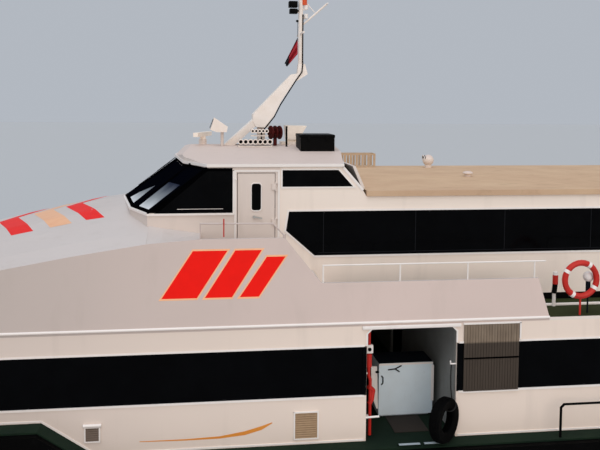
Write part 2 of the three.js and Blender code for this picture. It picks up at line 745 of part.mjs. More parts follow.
function paneCuts(out) {
  const cuts = [];
  const sill = mirrored(HOUSE_PLAN_SILL).slice(1, -1);
  const head = mirrored(HOUSE_PLAN_HEAD).slice(1, -1);
  const at = (list, i, part) => [0, 1].map((k) => list[i][k] + (list[i + 1][k] - list[i][k]) * part);
  for (let i = 0; i + 1 < sill.length; i += 1) {
    const corners = PANE_SPLITS.flatMap((part) => {
      const low = at(sill, i, part);
      const high = at(head, i, part);
      const up = (z) => {
        const rise = (z - SILL) / (HEAD - SILL);
        return [low[0] + (high[0] - low[0]) * rise, low[1] + (high[1] - low[1]) * rise, z];
      };
      return [up(SILL + 40), up(HEAD - 50)];
    });
    cuts.push(corners);
  }
  return cuts.map(([a, b, c, d]) => {
    const mid = new THREE.Vector3(b[0] - a[0], b[1] - a[1], b[2] - a[2])
      .cross(new THREE.Vector3(c[0] - a[0], c[1] - a[1], c[2] - a[2])).normalize();
    if (mid.x > 0) mid.negate();
    const push = (p, by) => [p[0] + mid.x * by, p[1] + mid.y * by, p[2] + mid.z * by];
    return loft([[a, b, d, c].map((p) => push(p, out)), [a, b, d, c].map((p) => push(p, -150))], [1, 2]);
  });
}

const SIDE_PANE = [[-5800, SILL], [DOOR_FWD - 60, SILL], [DOOR_FWD - 60, HEAD - 60], [-4840, HEAD - 60]];

// The raked front of the wheelhouse, drawn in by from and to, as a shell between the two.
function screenShell(from, to, low, high, half) {
  const raked = (by, past) => loft([
    mapPlan(thinner(HOUSE_PLAN_SILL, by), SILL - past),
    mapPlan(thinner(HOUSE_PLAN_HEAD, by), HEAD + past),
  ]);
  return cut(raked(from, 0), raked(to, 1)).intersect(box(-7000, -4300, -half, half, low, high));
}

const SCREEN = { thick: 20, low: SILL + 30, high: HEAD - 50, half: CABIN - 22 };
const DOOR_HEAD = HEAD - 110; // head of the wheelhouse door opening
const DOOR_LIGHT = { fwd: -3950, aft: -3770, low: DECK + 4090, high: DECK + 4610 };

function wheelhouse() {
  const low = WALK - PLATE;
  const base = planPlate(mirrored(HOUSE_PLAN_SILL), low, SILL);
  const head = loft([mapPlan(HOUSE_PLAN_SILL, SILL), mapPlan(HOUSE_PLAN_HEAD, HEAD - GAP)]);
  const hollow = planPlate(mirrored(thinner(HOUSE_PLAN_SILL, PLATE)), WALK, SILL + 1);
  const hollowHead = loft([
    mapPlan(thinner(HOUSE_PLAN_SILL, PLATE), SILL),
    mapPlan(thinner(HOUSE_PLAN_HEAD, PLATE), HEAD + 10),
  ]);
  const rebate = screenShell(-1, SCREEN.thick + GAP, SCREEN.low - GAP, SCREEN.high + GAP, SCREEN.half + GAP);
  let walls = cut(join(base, head), hollow, hollowHead, rebate, ...paneCuts(150));
  const foot = WALK - 0.01;
  const door = [[DOOR_FWD, foot], [DOOR_AFT, foot], [DOOR_AFT, DOOR_HEAD], [DOOR_FWD, DOOR_HEAD]];
  for (const side of [PORT, STARBOARD]) {
    walls = cut(walls, throughWall(side, CABIN, door), throughWall(side, CABIN, SIDE_PANE));
    walls = walls.add(sideHinges(side));
  }
  piece('wheelhouse_walls', walls, WHITE);
  piece('windscreen_glass', screenShell(0, SCREEN.thick, SCREEN.low, SCREEN.high, SCREEN.half), DARK_GLASS);
}

// Wheelhouse door hinges: pins at the aft edge, proud of the wall
function sideHinges(side) {
  const y = side * (CABIN + PIN_OUT);
  return join(...HINGE_HEIGHTS.flatMap((part) => {
    const z = WALK + (DOOR_HEAD - WALK) * part;
    return [-1, 1].map((up) => {
      const z0 = z + Math.min(up * (BARREL + 0.5), up * (BARREL + 20));
      const z1 = z + Math.max(up * (BARREL + 0.5), up * (BARREL + 20));
      return box(DOOR_AFT + 2, DOOR_AFT + 40, side * (CABIN - 20), side * (CABIN + PIN_OUT + PIN), z0, z1)
        .add(bar([DOOR_AFT, y, z0], [DOOR_AFT, y, z1], PIN, 12));
    });
  }));
}

function wheelhouseDoor(label, side) {
  const leaf = wallAt(side, CABIN, [
    [DOOR_FWD + RUN, WALK + RUN], [DOOR_AFT - RUN, WALK + RUN],
    [DOOR_AFT - RUN, DOOR_HEAD - RUN], [DOOR_FWD + RUN, DOOR_HEAD - RUN],
  ], 40, 6);
  const y = side * (CABIN + PIN_OUT);
  const barrels = HINGE_HEIGHTS.map((part) => {
    const z = WALK + (DOOR_HEAD - WALK) * part;
    const flap = box(DOOR_AFT - 70, DOOR_AFT - 5, side * (CABIN - 10), side * (CABIN + PIN_OUT + 6),
      z - BARREL, z + BARREL);
    return bar([DOOR_AFT, y, z - BARREL], [DOOR_AFT, y, z + BARREL], PIN, 12).add(flap);
  });
  const { fwd, aft, low, high } = DOOR_LIGHT;
  const light = [[fwd, low], [aft, low], [aft, high], [fwd, high]];
  piece(`wheelhouse_door_${label}`, cut(join(leaf, ...barrels), throughWall(side, CABIN, light)), WHITE);
}

const ROOF_PLAN = [
  [-1850, 0], [-1900, 1300], [RAISED_AFT.head, CABIN + 30], [-4800, CABIN + 30], [-5260, 2000], [-5480, 0],
];
const ROOF_RISE = 290; // of the crown over the eaves
const ROOF_CROWN = [[CABIN + 30, 0], [CABIN + 30, 45], [2000, 140], [900, 235], [0, ROOF_RISE]];

// The crowned roof, raised by lift where it cuts the feet of what stands on it.
function roofBody(lift) {
  const across = mirrored(ROOF_CROWN.map(([y, up]) => [up, y])).map(([up, y]) => [y, HEAD + lift + up]);
  const top = HEAD + ROOF_RISE + 15 + lift;
  const along = [[-5600, HEAD - 1], [-5470, HEAD + 40 + lift], [-5090, top], [-1700, top], [-1700, HEAD - 1]];
  return endPlate(across, -5600, -1800)
    .intersect(planPlate(mirrored(ROOF_PLAN), HEAD - 10, HEAD + 400))
    .intersect(sidePlate(along, -3500, 3500));
}

const PEDESTAL = { x: -4860, top: HEAD + 400 };
const LAMP_POST = { x: -4430, y: -350, top: HEAD + 580 };

function wheelhouseRoof() {
  const inner = CABIN - PLATE - GAP;
  const foot = EAVES + 151;
  const aft = sidePlate([
    [RAISED_AFT.foot + 40, foot], [-1900, HEAD + 5], [-1960, HEAD + 5], [RAISED_AFT.foot - 20, foot],
  ], -inner, inner);
  const pedestal = bar([PEDESTAL.x, 0, HEAD + 100], [PEDESTAL.x, 0, PEDESTAL.top], 90, 16);
  const post = bar([LAMP_POST.x, LAMP_POST.y, HEAD + 100], [LAMP_POST.x, LAMP_POST.y, LAMP_POST.top], 35, 12);
  piece('wheelhouse_roof', join(roofBody(0), aft, pedestal, post), WHITE);
}

function radarScanner() {
  const top = PEDESTAL.top + 70;
  const scanner = new THREE.BoxGeometry(110, 1000, 95);
  scanner.rotateZ(-0.33);
  scanner.translate(PEDESTAL.x, 0, top + 45);
  const hub = bar([PEDESTAL.x, 0, PEDESTAL.top + GAP], [PEDESTAL.x, 0, top], 70, 16);
  piece('radar_scanner', join(solid(scanner), hub), WHITE);
}

function searchlight() {
  const z = LAMP_POST.top;
  piece('searchlight', sidePlate([
    [-4698, z + 54], [-4612, z + 325], [-4440, z + 210], [-4309, z + 120], [-4331, z + GAP], [-4560, z + GAP],
  ], LAMP_POST.y - 170, LAMP_POST.y + 170), CREAM);
}

// Black locker, and a white box on two runners and a low plinth, on the wheelhouse roof
function roofBoxes() {
  const seat = roofBody(GAP);
  piece('roof_locker', cut(box(-2775, -2035, -1300, -500, HEAD + 70, HEAD + 560), seat), BLACK);
  const chest = sidePlate([
    [-2930, HEAD + 395], [-2650, HEAD + 395], [-2464, HEAD + 712], [-2961, HEAD + 720],
  ], -60, 340);
  const plinth = box(-3060, -2460, -80, 360, HEAD + 20, HEAD + 342);
  const runners = [-20, 260].map((y) => box(-2920, -2660, y, y + 40, HEAD + 340, HEAD + 396));
  piece('roof_box', cut(join(chest, plinth, ...runners), seat), WHITE);
}

function cabinRoofBody(lift) {
  const half = CABIN + 50;
  const top = EAVES + 110 + lift;
  return endPlate([[-half, EAVES], [half, EAVES], [half, top], [0, top + 40], [-half, top]],
    RAISED_AFT.foot + 61, ROOF_AFT);
}

const CRATE = { fwd: -1260, aft: -240, y0: 2380, y1: 2800, low: EAVES + 60, high: EAVES + 490 };
const COWL = { x: 1180, y: 2250, radius: 150, stem: 90, height: EAVES + 320 };

// A slatted crate and a cowl ventilator near the starboard edge of the cabin roof
function cabinRoofFittings() {
  const seat = cabinRoofBody(GAP);
  const { fwd: x0, aft: x1, y0, y1, low, high } = CRATE;
  const parts = [
    box(x0, x1, y0, y1, low, low + 90),
    box(x0, x1, y0, y0 + 25, high - 40, high),
    box(x0, x1, y1 - 25, y1, high - 40, high),
    box(x0, x0 + 25, y0, y1, high - 40, high),
    box(x1 - 25, x1, y0, y1, high - 40, high),
  ];
  const slats = 6;
  for (let i = 0; i <= slats; i += 1) {
    const x = x0 + ((x1 - x0 - 60) * i) / slats;
    parts.push(box(x, x + 60, y0 + 2, y0 + 22, low + 10, high - 10));
    parts.push(box(x, x + 60, y1 - 22, y1 - 2, low + 10, high - 10));
  }
  piece('roof_crate', cut(join(...parts), seat), WOOD);

  const cowl = new THREE.SphereGeometry(COWL.radius, 16, 10);
  cowl.translate(COWL.x, COWL.y, COWL.height);
  const stem = bar([COWL.x, COWL.y, low], [COWL.x, COWL.y, COWL.height - 20], COWL.stem, 16);
  piece('cowl_vent', cut(join(solid(cowl), stem), seat), WHITE);
}

// Mast: a slanted box beam on a raked leg and a short column, then an upright pole
const POLE = { x: -2620, top: 10330, radius: 55 };
const BEAM = [
  // x, z of the beam's side: lower end, aft edge, gusset behind the pole, forward edge
  [-3730, 7550], [-3655, 7420], [-3390, 7405], [-3090, 7990], [-2780, 8450], [-2696, 8486],
  [-2462, 8636], [-2518, 8866], [-2675, 8866], [-2700, 8650], [-2848, 8624], [-3725, 7711],
];
const LEG = [[-4540, 6860], [-3715, 7600], [-3660, 7440], [-4300, 6860]];
const COLUMN = { fwd: -3610, aft: -3440, half: 110, top: 7500 };
const CABLE = 14; // radius of the cable strapped to the mast
const CABLE_RUN = [
  // x, y, z: down the pole's after side, over the gusset, down the beam's side, in under its end,
  // and down the column to the roof
  [-2574, -50, 10000], [-2574, -50, 8960], [-2574, -82, 8880], [-2600, -120, 8680], [-2730, -138, 8500],
  [-2860, -162, 8300], [-3100, -207, 7930], [-3240, -239, 7660], [-3420, -268, 7440], [-3480, -285, 7370],
  [-3525, -160, 7330], [-3525, -122, 7250], [-3525, -122, HEAD + 180],
];

function mast() {
  const taper = endPlate([
    [-260, 6000], [260, 6000], [260, 7400], [110, 8650], [70, 8900], [-70, 8900], [-110, 8650], [-260, 7400],
  ], -5000, -2000);
  const column = box(COLUMN.fwd, COLUMN.aft, -COLUMN.half, COLUMN.half, HEAD + 20, COLUMN.top);
  const legs = join(sidePlate(BEAM, -300, 300).intersect(taper), sidePlate(LEG, -230, 230), column);
  const pole = bar([POLE.x, 0, 8600], [POLE.x, 0, POLE.top], POLE.radius, 16);
  const spar = bar([POLE.x, 0, 9730], [-2010, 0, 10265], 22, 8);
  const yard = bar([POLE.x, -520, 9560], [POLE.x, 520, 9560], 24, 8);
  const lamp = bar([POLE.x - 230, 0, 10060], [POLE.x, 0, 10060], 26, 8);
  const whole = join(cut(legs, roofBody(GAP)), pole, spar, yard, lamp);
  piece('mast', whole, CREAM);
  const beside = whole.translate([GAP, -GAP, 0]);
  piece('mast_cable', cut(pipe(CABLE_RUN, CABLE, 8), whole, beside, roofBody(GAP)), BLACK);
}

function flag() {
  const hoist = POLE.x - POLE.radius - GAP;
  piece('flag', sidePlate([
    [hoist, 9490], [-2720, 9440], [-2995, 8895], [-2960, 8860], [-2900, 8880], [hoist, 9100],
  ], -16, 16), RED);
}

// Low rail on the bulwark
function walkwayRail(label, side) {
  const y = side * (leanAt(WALK) - PLATE / 2);
  const low = WALK + GAP;
  const top = WALK + 320;
  const start = LANDING.aft + 30;
  const parts = [pipe([[start, y, low], [start, y, top], [BULWARK_AFT, y, top]], 14)];
  for (const x of [-1280, 20, 1335]) parts.push(bar([x, y, low], [x, y, top], 14, 6));
  piece(`walkway_rail_${label}`, join(...parts), WHITE);
}

function sideRail(label, side) {
  const y = side * (GUARD - 110);
  const low = DECK + GAP;
  const top = DECK + 620;
  const parts = [pipe([
    [1700, y, low], [1700, y, top - 60], [1760, y, top], [13300, y, top], [13300, y, low],
  ], 24)];
  for (let x = 3600; x < 13000; x += 1900) parts.push(bar([x, y, low], [x, y, top], 20, 8));
  piece(`side_rail_${label}`, join(...parts), BLACK);
}

function aftRail() {
  const y = SIDE - 90;
  const x1 = UPPER_AFT - 90;
  const z = UPPER + GAP;
  const corner = 330;
  const parts = [];
  for (const up of [1050, 550]) {
    parts.push(pipe([
      [2700, -y, z + up], [x1 - corner, -y, z + up], [x1, -y + corner, z + up],
      [x1, y - corner, z + up], [x1 - corner, y, z + up], [2700, y, z + up],
    ], up > 1000 ? 22 : 14));
  }
  const posts = [[x1, -y + corner], [x1, y - corner], [x1, -1300], [x1, 1300]];
  for (let x = 2700; x <= x1 - corner; x += (x1 - corner - 2700) / 5) posts.push([x, -y], [x, y]);
  for (const [x, yy] of posts) parts.push(bar([x, yy, z], [x, yy, z + 1050], 20, 6));
  piece('aft_rail', join(...parts), STEEL);
}

const BUOY = { x: 2190, y: SIDE - 75, rise: 680, ring: 318, thick: 58 };

// A lifebuoy on a post at the upper deck's edge
function lifebuoy(label, side) {
  const ring = new THREE.TorusGeometry(BUOY.ring, BUOY.thick, 8, 28);
  ring.rotateX(Math.PI / 2);
  ring.translate(BUOY.x, side * BUOY.y, UPPER + BUOY.rise);
  const post = bar([BUOY.x, side * BUOY.y, UPPER + GAP], [BUOY.x, side * BUOY.y, UPPER + 400], 20, 8);
  piece(`lifebuoy_${label}`, join(solid(ring), post), RED);
}

function stairs() {
  const steps = 10;
  const rise = (UPPER - DECK) / (steps + 1);
  const run = 200;
  const x0 = UPPER_AFT + RUN;
  const parts = [];
  for (let i = 0; i < steps; i += 1) {
    const z = UPPER - rise * (i + 1);
    parts.push(box(x0 + run * i, x0 + run * i + 230, -450, 450, z - 30, z));
  }
  const foot = x0 + run * steps;
  for (const y of [-490, 450]) {
    parts.push(sidePlate([
      [x0, UPPER - rise - 130], [x0, UPPER - 60], [x0 + 150, UPPER - 60],
      [foot + 190, DECK + 130], [foot + 190, DECK + GAP], [foot - 60, DECK + GAP],
    ], y, y + 40));
  }
  piece('aft_stairs', join(...parts), GREY);
}

// Shutter over the engine room's air intake: two panels of upright boards on one backing sheet
function louvre() {
  const [x0, x1] = [-110, 950];
  const y0 = -SIDE - GAP;
  const boards = 20;
  const groove = 8;
  const panels = [[DECK + 860, DECK + 1465], [DECK + 1490, DECK + 2110]].map(([low, high]) => {
    let panel = box(x0, x1, y0 - 32, y0, low, high);
    for (let i = 1; i < boards; i += 1) {
      const x = x0 + ((x1 - x0) * i) / boards;
      panel = panel.subtract(box(x - groove / 2, x + groove / 2, y0 - 50, y0 - 20, low - 10, high + 10));
    }
    return panel;
  });
  const backing = box(x0, x1, y0 - 12, y0, DECK + 860, DECK + 2110);
  piece('louvre_port', join(backing, ...panels), WOOD);
}

const SIDES = [['port', PORT], ['starboard', STARBOARD]];

decks();
foreWall();
mainAft();
lobby();
locker();
tyre();
louvre();
upperDeck();
noseShell();
upperAft();
piece('cabin_roof', cabinRoofBody(0), TAN);
wheelhouse();
wheelhouseRoof();
radarScanner();
searchlight();
roofBoxes();
cabinRoofFittings();
mast();
flag();
aftRail();
stairs();
for (const [label, side] of SIDES) {
  hull(`hull_${label}`, side);
  propeller(`propeller_${label}`, side);
  rudder(`rudder_${label}`, side);
  mainSide(label, side);
  shoulder(label, side);
  upperSide(label, side);
  wheelhouseDoor(label, side);
  glass(`wheelhouse_glass_${label}`, side, CABIN, SIDE_PANE);
  walkwayRail(label, side);
  sideRail(label, side);
  lifebuoy(label, side);
}

export default ferry;
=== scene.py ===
# %% [markdown]
# A fast passenger ferry with two hulls.
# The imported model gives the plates, decks, glass and rails at full size, in metres:
# X runs aft, Y to starboard, Z up, and the waterline is at Z = 0.
# This lesson dresses that model: paints, glass, frames, fittings, ropes and cloth.
# %% Load the model
import math

import bmesh
import bpy
from mathutils import Matrix, Vector
from mathutils.bvhtree import BVHTree


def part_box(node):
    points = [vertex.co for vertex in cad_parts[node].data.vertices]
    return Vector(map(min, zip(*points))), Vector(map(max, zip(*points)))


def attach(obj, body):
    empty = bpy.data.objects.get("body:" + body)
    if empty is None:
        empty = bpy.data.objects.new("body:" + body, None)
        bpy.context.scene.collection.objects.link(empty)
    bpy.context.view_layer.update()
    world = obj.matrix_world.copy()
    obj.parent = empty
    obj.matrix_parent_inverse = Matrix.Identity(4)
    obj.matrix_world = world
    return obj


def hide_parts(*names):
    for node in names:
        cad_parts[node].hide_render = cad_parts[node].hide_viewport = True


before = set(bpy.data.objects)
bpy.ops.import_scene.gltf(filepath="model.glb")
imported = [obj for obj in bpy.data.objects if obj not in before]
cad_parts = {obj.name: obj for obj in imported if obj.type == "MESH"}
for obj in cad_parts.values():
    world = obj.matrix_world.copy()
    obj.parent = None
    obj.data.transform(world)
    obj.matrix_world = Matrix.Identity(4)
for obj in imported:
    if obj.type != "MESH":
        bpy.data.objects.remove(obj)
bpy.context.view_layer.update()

# %% [markdown]
# The camera stands 0.6 m higher than the top of the wheelhouse roof and looks across the boat.
# A small shift helps to keep the uprights upright, as in the photograph.
# %% Camera
LENS, SENSOR = 45.59, 36.0  # mm
STANDPOINT = (-5.012, -17.5, 7.941)
TURN, DIP, ROLL = -7.809, 3.661, 0.449  # degrees
camera_data = bpy.data.cameras.new("quay_camera")
camera_data.lens = LENS
camera_data.sensor_width = SENSOR
camera_data.shift_y = -0.12
camera_data.clip_end = 600
camera = bpy.data.objects.new("quay_camera", camera_data)
bpy.context.collection.objects.link(camera)
camera.matrix_world = (
    Matrix.Translation(STANDPOINT)
    @ Matrix.Rotation(math.radians(TURN), 4, "Z")
    @ Matrix.Rotation(math.radians(90 - DIP), 4, "X")
    @ Matrix.Rotation(math.radians(ROLL), 4, "Z")
)
bpy.context.scene.camera = camera
bpy.context.scene.view_settings.view_transform = "Standard"

# %% [markdown]
# A pale floor lies at the waterline, so only the part of the hulls above it shows.
# The light is plain and soft: pale all round, one wide lamp high over the bow and a warmer
# one from the camera's side.
# %% Floor and light
def make_object(name, bm, material=None, smooth=False):
    mesh = bpy.data.meshes.new(name)
    bm.to_mesh(mesh)
    bm.free()
    obj = bpy.data.objects.new(name, mesh)
    bpy.context.collection.objects.link(obj)
    if material is not None:
        mesh.materials.append(material)
    if smooth:
        mesh.polygons.foreach_set("use_smooth", [True] * len(mesh.polygons))
    return obj


def linear(hex_colour):
    """sRGB hex to linear red, green, blue and alpha."""
    parts = [int(hex_colour[i:i + 2], 16) / 255 for i in (0, 2, 4)]
    return [c / 12.92 if c <= 0.04045 else ((c + 0.055) / 1.055) ** 2.4 for c in parts] + [1.0]


bm = bmesh.new()
FLOOR_REACH = 300
bmesh.ops.create_grid(bm, x_segments=1, y_segments=1, size=FLOOR_REACH)
floor = make_object("floor", bm)
floor_paint = bpy.data.materials.new("floor_paint")
floor_paint.use_nodes = True
floor_shader = floor_paint.node_tree.nodes["Principled BSDF"]
floor_shader.inputs["Base Color"].default_value = linear("B9BBBC")
floor_shader.inputs["Roughness"].default_value = 0.9
floor.data.materials.append(floor_paint)

world = bpy.data.worlds.new("overcast")
bpy.context.scene.world = world
world.use_nodes = True
sky = world.node_tree.nodes["Background"]
sky.inputs["Color"].default_value = linear("DDE4EE")
sky.inputs["Strength"].default_value = 0.62
SOFTNESS = math.radians(60)


def lamp(name, strength, aim, colour):
    data = bpy.data.lights.new(name, "SUN")
    data.energy = strength
    data.angle = SOFTNESS
    data.color = linear(colour)[:3]
    obj = bpy.data.objects.new(name, data)
    bpy.context.collection.objects.link(obj)
    obj.rotation_euler = Vector(aim).to_track_quat("-Z", "Y").to_euler()


lamp("high_sky", 1.35, (0.25, 0.35, -1.0), "F4F8FF")
lamp("quay_side", 1.2, (-0.25, 1.0, -0.2), "FFECDC")
print("floor at the waterline, two soft lamps")

# %% [markdown]
# One small helper adds a shader node with its settings and links, so each paint below
# reads as a short list of what it is made of. Patterns read Object coordinates: the
# objects sit at the origin, so one unit there is one metre on the boat.
# %% Shader helper
def node(tree, kind, settings=None, **inputs):
    made = tree.nodes.new(kind)
    for key, value in (settings or {}).items():
        setattr(made, key, value)
    for key, value in inputs.items():
        name = key.replace("_", " ")
        socket = made.inputs[int(key[1:])] if key[0] == "i" and key[1:].isdigit() else made.inputs[name]
        if isinstance(value, bpy.types.NodeSocket):
            tree.links.new(value, socket)
        else:
            socket.default_value = value
    return made


def ramp_stops(ramp_node, stops):
    """Sets a colour ramp from (place, hex) pairs."""
    ramp = ramp_node.color_ramp
    while len(ramp.elements) < len(stops):
        ramp.elements.new(0.5)
    for element, (place, colour) in zip(ramp.elements, stops):
        element.position = place
        element.color = linear(colour)
    return ramp_node.outputs["Color"]


def new_material(name, roughness, metallic=0.0, ior=1.5, specular=0.5):
    made = bpy.data.materials.new(name)
    made.use_nodes = True
    shader = made.node_tree.nodes["Principled BSDF"]
    shader.inputs["Roughness"].default_value = roughness
    shader.inputs["Metallic"].default_value = metallic
    shader.inputs["IOR"].default_value = ior
    shader.inputs["Specular IOR Level"].default_value = specular
    return made, made.node_tree, shader


def coordinates(tree, scale=(1, 1, 1)):
    spot = node(tree, "ShaderNodeTexCoord").outputs["Object"]
    return node(tree, "ShaderNodeMapping", i0=spot, i3=scale).outputs[0]


def noise_value(tree, scale, detail=3.0, stretch=(1, 1, 1), roughness=0.5):
    """A noise whose features are about 1 / scale metres across."""
    return node(
        tree, "ShaderNodeTexNoise", Vector=coordinates(tree, stretch),
        Scale=scale, Detail=detail, Roughness=roughness,
    ).outputs["Fac"]


def blend_colour(tree, amount, first, second, how="MIX"):
    settings = {"data_type": "RGBA", "blend_type": how}
    return node(tree, "ShaderNodeMix", settings, i0=amount, i6=first, i7=second).outputs[2]


def plug(shader, socket, value):
    shader.id_data.links.new(value, shader.inputs[socket])


def bump(tree, shader, height, distance, strength=1.0):
    made = node(tree, "ShaderNodeBump", Height=height, Distance=distance, Strength=strength)
    plug(shader, "Normal", made.outputs["Normal"])


def band(tree, value, low, high, to_low=0.0, to_high=1.0):
    """Maps low..high of a value to to_low..to_high, clamped."""
    return node(
        tree, "ShaderNodeMapRange", Value=value, i1=low, i2=high, i3=to_low, i4=to_high
    ).outputs[0]


def stained(tree, colour, stain, noise, edges, amount=1.0, how="MIX"):
    """The colour, with the stain over it where a noise rises through the edges."""
    patches = band(tree, noise_value(tree, *noise), *edges, 0.0, amount)
    return blend_colour(tree, patches, colour, linear(stain), how)


def wavering_height(tree, scale, amount):
    """A point's height in metres, wandering a little, so no edge is ruled straight."""
    height = node(tree, "ShaderNodeSeparateXYZ", i0=coordinates(tree)).outputs["Z"]
    return node(
        tree, "ShaderNodeMath", {"operation": "MULTIPLY_ADD"},
        i0=noise_value(tree, scale), i1=amount, i2=height).outputs[0]


EVEN = (1, 1, 1)  # a pattern stretched in no direction
print("shader helpers ready")

# %% [markdown]
# Marine polyurethane paint on welded aluminium plate: a warm white on the walls, with faint run
# marks and plates that dish a few millimetres between their frames. Light and shade are painted in
# too: a cooler tone where the paint faces the sky, and a greyer painted shade towards the bow.
# %% Topside paint
RUN_BROWN = "A2978A"  # run marks left by rain
DISH, DISH_DEPTH = (1.3, 1.0), 0.012  # plates dish between frames about 0.6 m apart


def facing_z(tree):
    """How far the surface faces up: 1 on a deck, 0 on a wall."""
    surface = node(tree, "ShaderNodeNewGeometry").outputs["Normal"]
    return node(tree, "ShaderNodeSeparateXYZ", i0=surface).outputs["Z"]


def marine_white(name, side, top, shade, roughness=0.42):
    """White paint: its colour on walls, a painted sky-lit tone where it faces up, and a painted shade
    towards the bow, which also tints random grime patches.
    """
    made, tree, shader = new_material(name, roughness, specular=0.3)
    along = node(tree, "ShaderNodeSeparateXYZ", i0=coordinates(tree)).outputs["X"]
    # painted shade: the white turns to the shade colour towards the bow, between X = -3 and -9
    colour = blend_colour(tree, band(tree, along, -3.0, -9.0), linear(side), linear(shade))
    # painted light: where the surface faces up it takes the top colour, standing for light from the sky
    colour = blend_colour(tree, band(tree, facing_z(tree), 0.35, 0.75), colour, linear(top))
    cloud = (0.45, 3.0)
    colour = stained(tree, colour, shade, cloud, (0.4, 0.75), 0.22)
    colour = stained(tree, colour, RUN_BROWN, (1.0, 4.0, (3.0, 3.0, 0.3)), (0.58, 0.8), 0.16)
    plug(shader, "Base Color", colour)
    rough = band(tree, noise_value(tree, *cloud), 0.3, 0.7, roughness - 0.08, roughness + 0.1)
    plug(shader, "Roughness", rough)
    bump(tree, shader, noise_value(tree, *DISH), DISH_DEPTH)
    return made


TOPSIDE = marine_white("polyurethane_paint_warm_white", "F0DFD0", "CEC5C0", "D6C7BC")
# the same white, made darker: painted shade on the nose and the leaning bulwarks
BOW_WHITE_PAINTED_SHADE = marine_white("polyurethane_paint_bow_white_painted_shade", "CEBBB2", "CEC5C0", "B6AAA2")
UPPER_WHITE = marine_white("polyurethane_paint_upper_white", "E2D4C9", "DAD2CC", "D4C6BC")
# the same white, made lighter: painted daylight on the upper cabin's sides and after end
CABIN_WHITE_PAINTED_LIGHT = marine_white("polyurethane_paint_cabin_white_painted_light", "F6E8DA", "DAD2CC", "E6D8CB")
ROOF_WHITE = marine_white("polyurethane_paint_roof_white", "E2D6CC", "D8C6BC", "D0C2B8", 0.5)
TRIM_WHITE = marine_white("polyurethane_paint_trim_white", "F2EBE4", "EFE8E2", "EAE0D8", 0.35)

# %% Hull paint with its boot-top
HULL_PAINT, tree, shader = new_material("polyurethane_and_antifouling_hull", 0.45)
LOW_END, HIGH_END = -1.6, 2.5  # heights that the ramp spans
BOOT_FOOT, BOOT_HEAD = 0.12, 0.38
height = wavering_height(tree, 6.0, 0.02)
zone = node(tree, "ShaderNodeValToRGB", {}, i0=band(tree, height, LOW_END, HIGH_END))
zone.color_ramp.interpolation = "CONSTANT"
zones = ramp_stops(zone, [(0.0, "6B2D24")] + [
    ((level - LOW_END) / (HIGH_END - LOW_END), colour)
    for level, colour in ((BOOT_FOOT, "1E2F24"), (BOOT_HEAD, "DCCCC0"))])
fouling = band(tree, noise_value(tree, 3.0, 6.0, (1, 1, 3)), 0.45, 0.75, 0.0, 0.5)
low = band(tree, height, 0.3, 0.0)
fouling = node(tree, "ShaderNodeMath", {"operation": "MULTIPLY"}, i0=fouling, i1=low).outputs[0]
colour = blend_colour(tree, fouling, zones, linear("3E3A2C"))
runs = (1.0, 5.0, (7.0, 7.0, 0.35))
colour = stained(tree, colour, RUN_BROWN, runs, (0.55, 0.8), 0.3, "MULTIPLY")
plug(shader, "Base Color", colour)
bump(tree, shader, noise_value(tree, *DISH), DISH_DEPTH)
print("white paints, hull bands")

# %% [markdown]
# Deck paint is an epoxy with grit thrown in while wet. It is dark green here, lighter where
# feet have worn it, and the roof over the saloon carries the same grit in tan, badly stained.
# The grit is drawn at 8 mm, coarser than the real 1 mm, so that it shows at all.
# %% Deck and roof paint
WORN_PATCHES = (0.8, 6.0, EVEN, 0.6)
WORN_EDGES = (0.4, 0.7)


def grit_paint(name, base, worn, stain, spread=0.45):
    made, tree, shader = new_material(name, 0.85, specular=0.1)
    colour = stained(tree, linear(base), worn, WORN_PATCHES, WORN_EDGES)
    colour = stained(tree, colour, stain, (2.2, 8.0, (1, 2.2, 1), 0.65), (0.55, 0.72), spread)
    plug(shader, "Base Color", colour)
    bump(tree, shader, noise_value(tree, 125.0, 2.0), 0.002, 0.6)
    return made


# the main deck's green is darker than the upper deck's: painted shade, its tone taken where the deck
# lies in shade
DECK_GREEN_PAINTED_SHADE = grit_paint("epoxy_grit_paint_green", "14231A", "1C2C1E", "0E1610")
ROOF_TAN = grit_paint("epoxy_grit_paint_tan", "C9A98B", "D3B595", "A98D72", 0.55)

# %% [markdown]
# Glass: tinted toughened panes, glued in from outside, with dark film. They read as black,
# with a faint sheen. The dark body has a low specular level, and none on the sloping
# windscreen, which would otherwise mirror the pale studio.
# %% Tinted glass and rubber
def tinted(name, base, roughness, specular):
    made, tree, shader = new_material(name, roughness, 0.0, 1.52, specular)
    colour = stained(tree, linear(base), "050608", (2.5, 4.0), (0.4, 0.75), 0.5)
    plug(shader, "Base Color", colour)
    rough = band(tree, noise_value(tree, 9.0, 3.0), 0.3, 0.7, roughness, roughness + 0.08)
    plug(shader, "Roughness", rough)
    return made


DARK_GLASS = tinted("tinted_toughened_glass", "010102", 0.12, 0.05)
SCREEN_GLASS = tinted("tinted_windscreen_glass", "03040A", 0.08, 0.0)


def rubber(name, base, scuff, scale):
    made, tree, shader = new_material(name, 0.75, specular=0.05)
    colour = stained(tree, linear(base), scuff, (scale, 6.0, EVEN, 0.65), (0.5, 0.75), 0.8)
    plug(shader, "Base Color", colour)
    bump(tree, shader, noise_value(tree, 60.0, 3.0), 0.002, 0.5)
    return made


FENDER_RUBBER = rubber("extruded_rubber_fender", "020202", "080808", 6.0)
TYRE_RUBBER = rubber("worn_tyre_rubber", "020202", "0A0A09", 14.0)

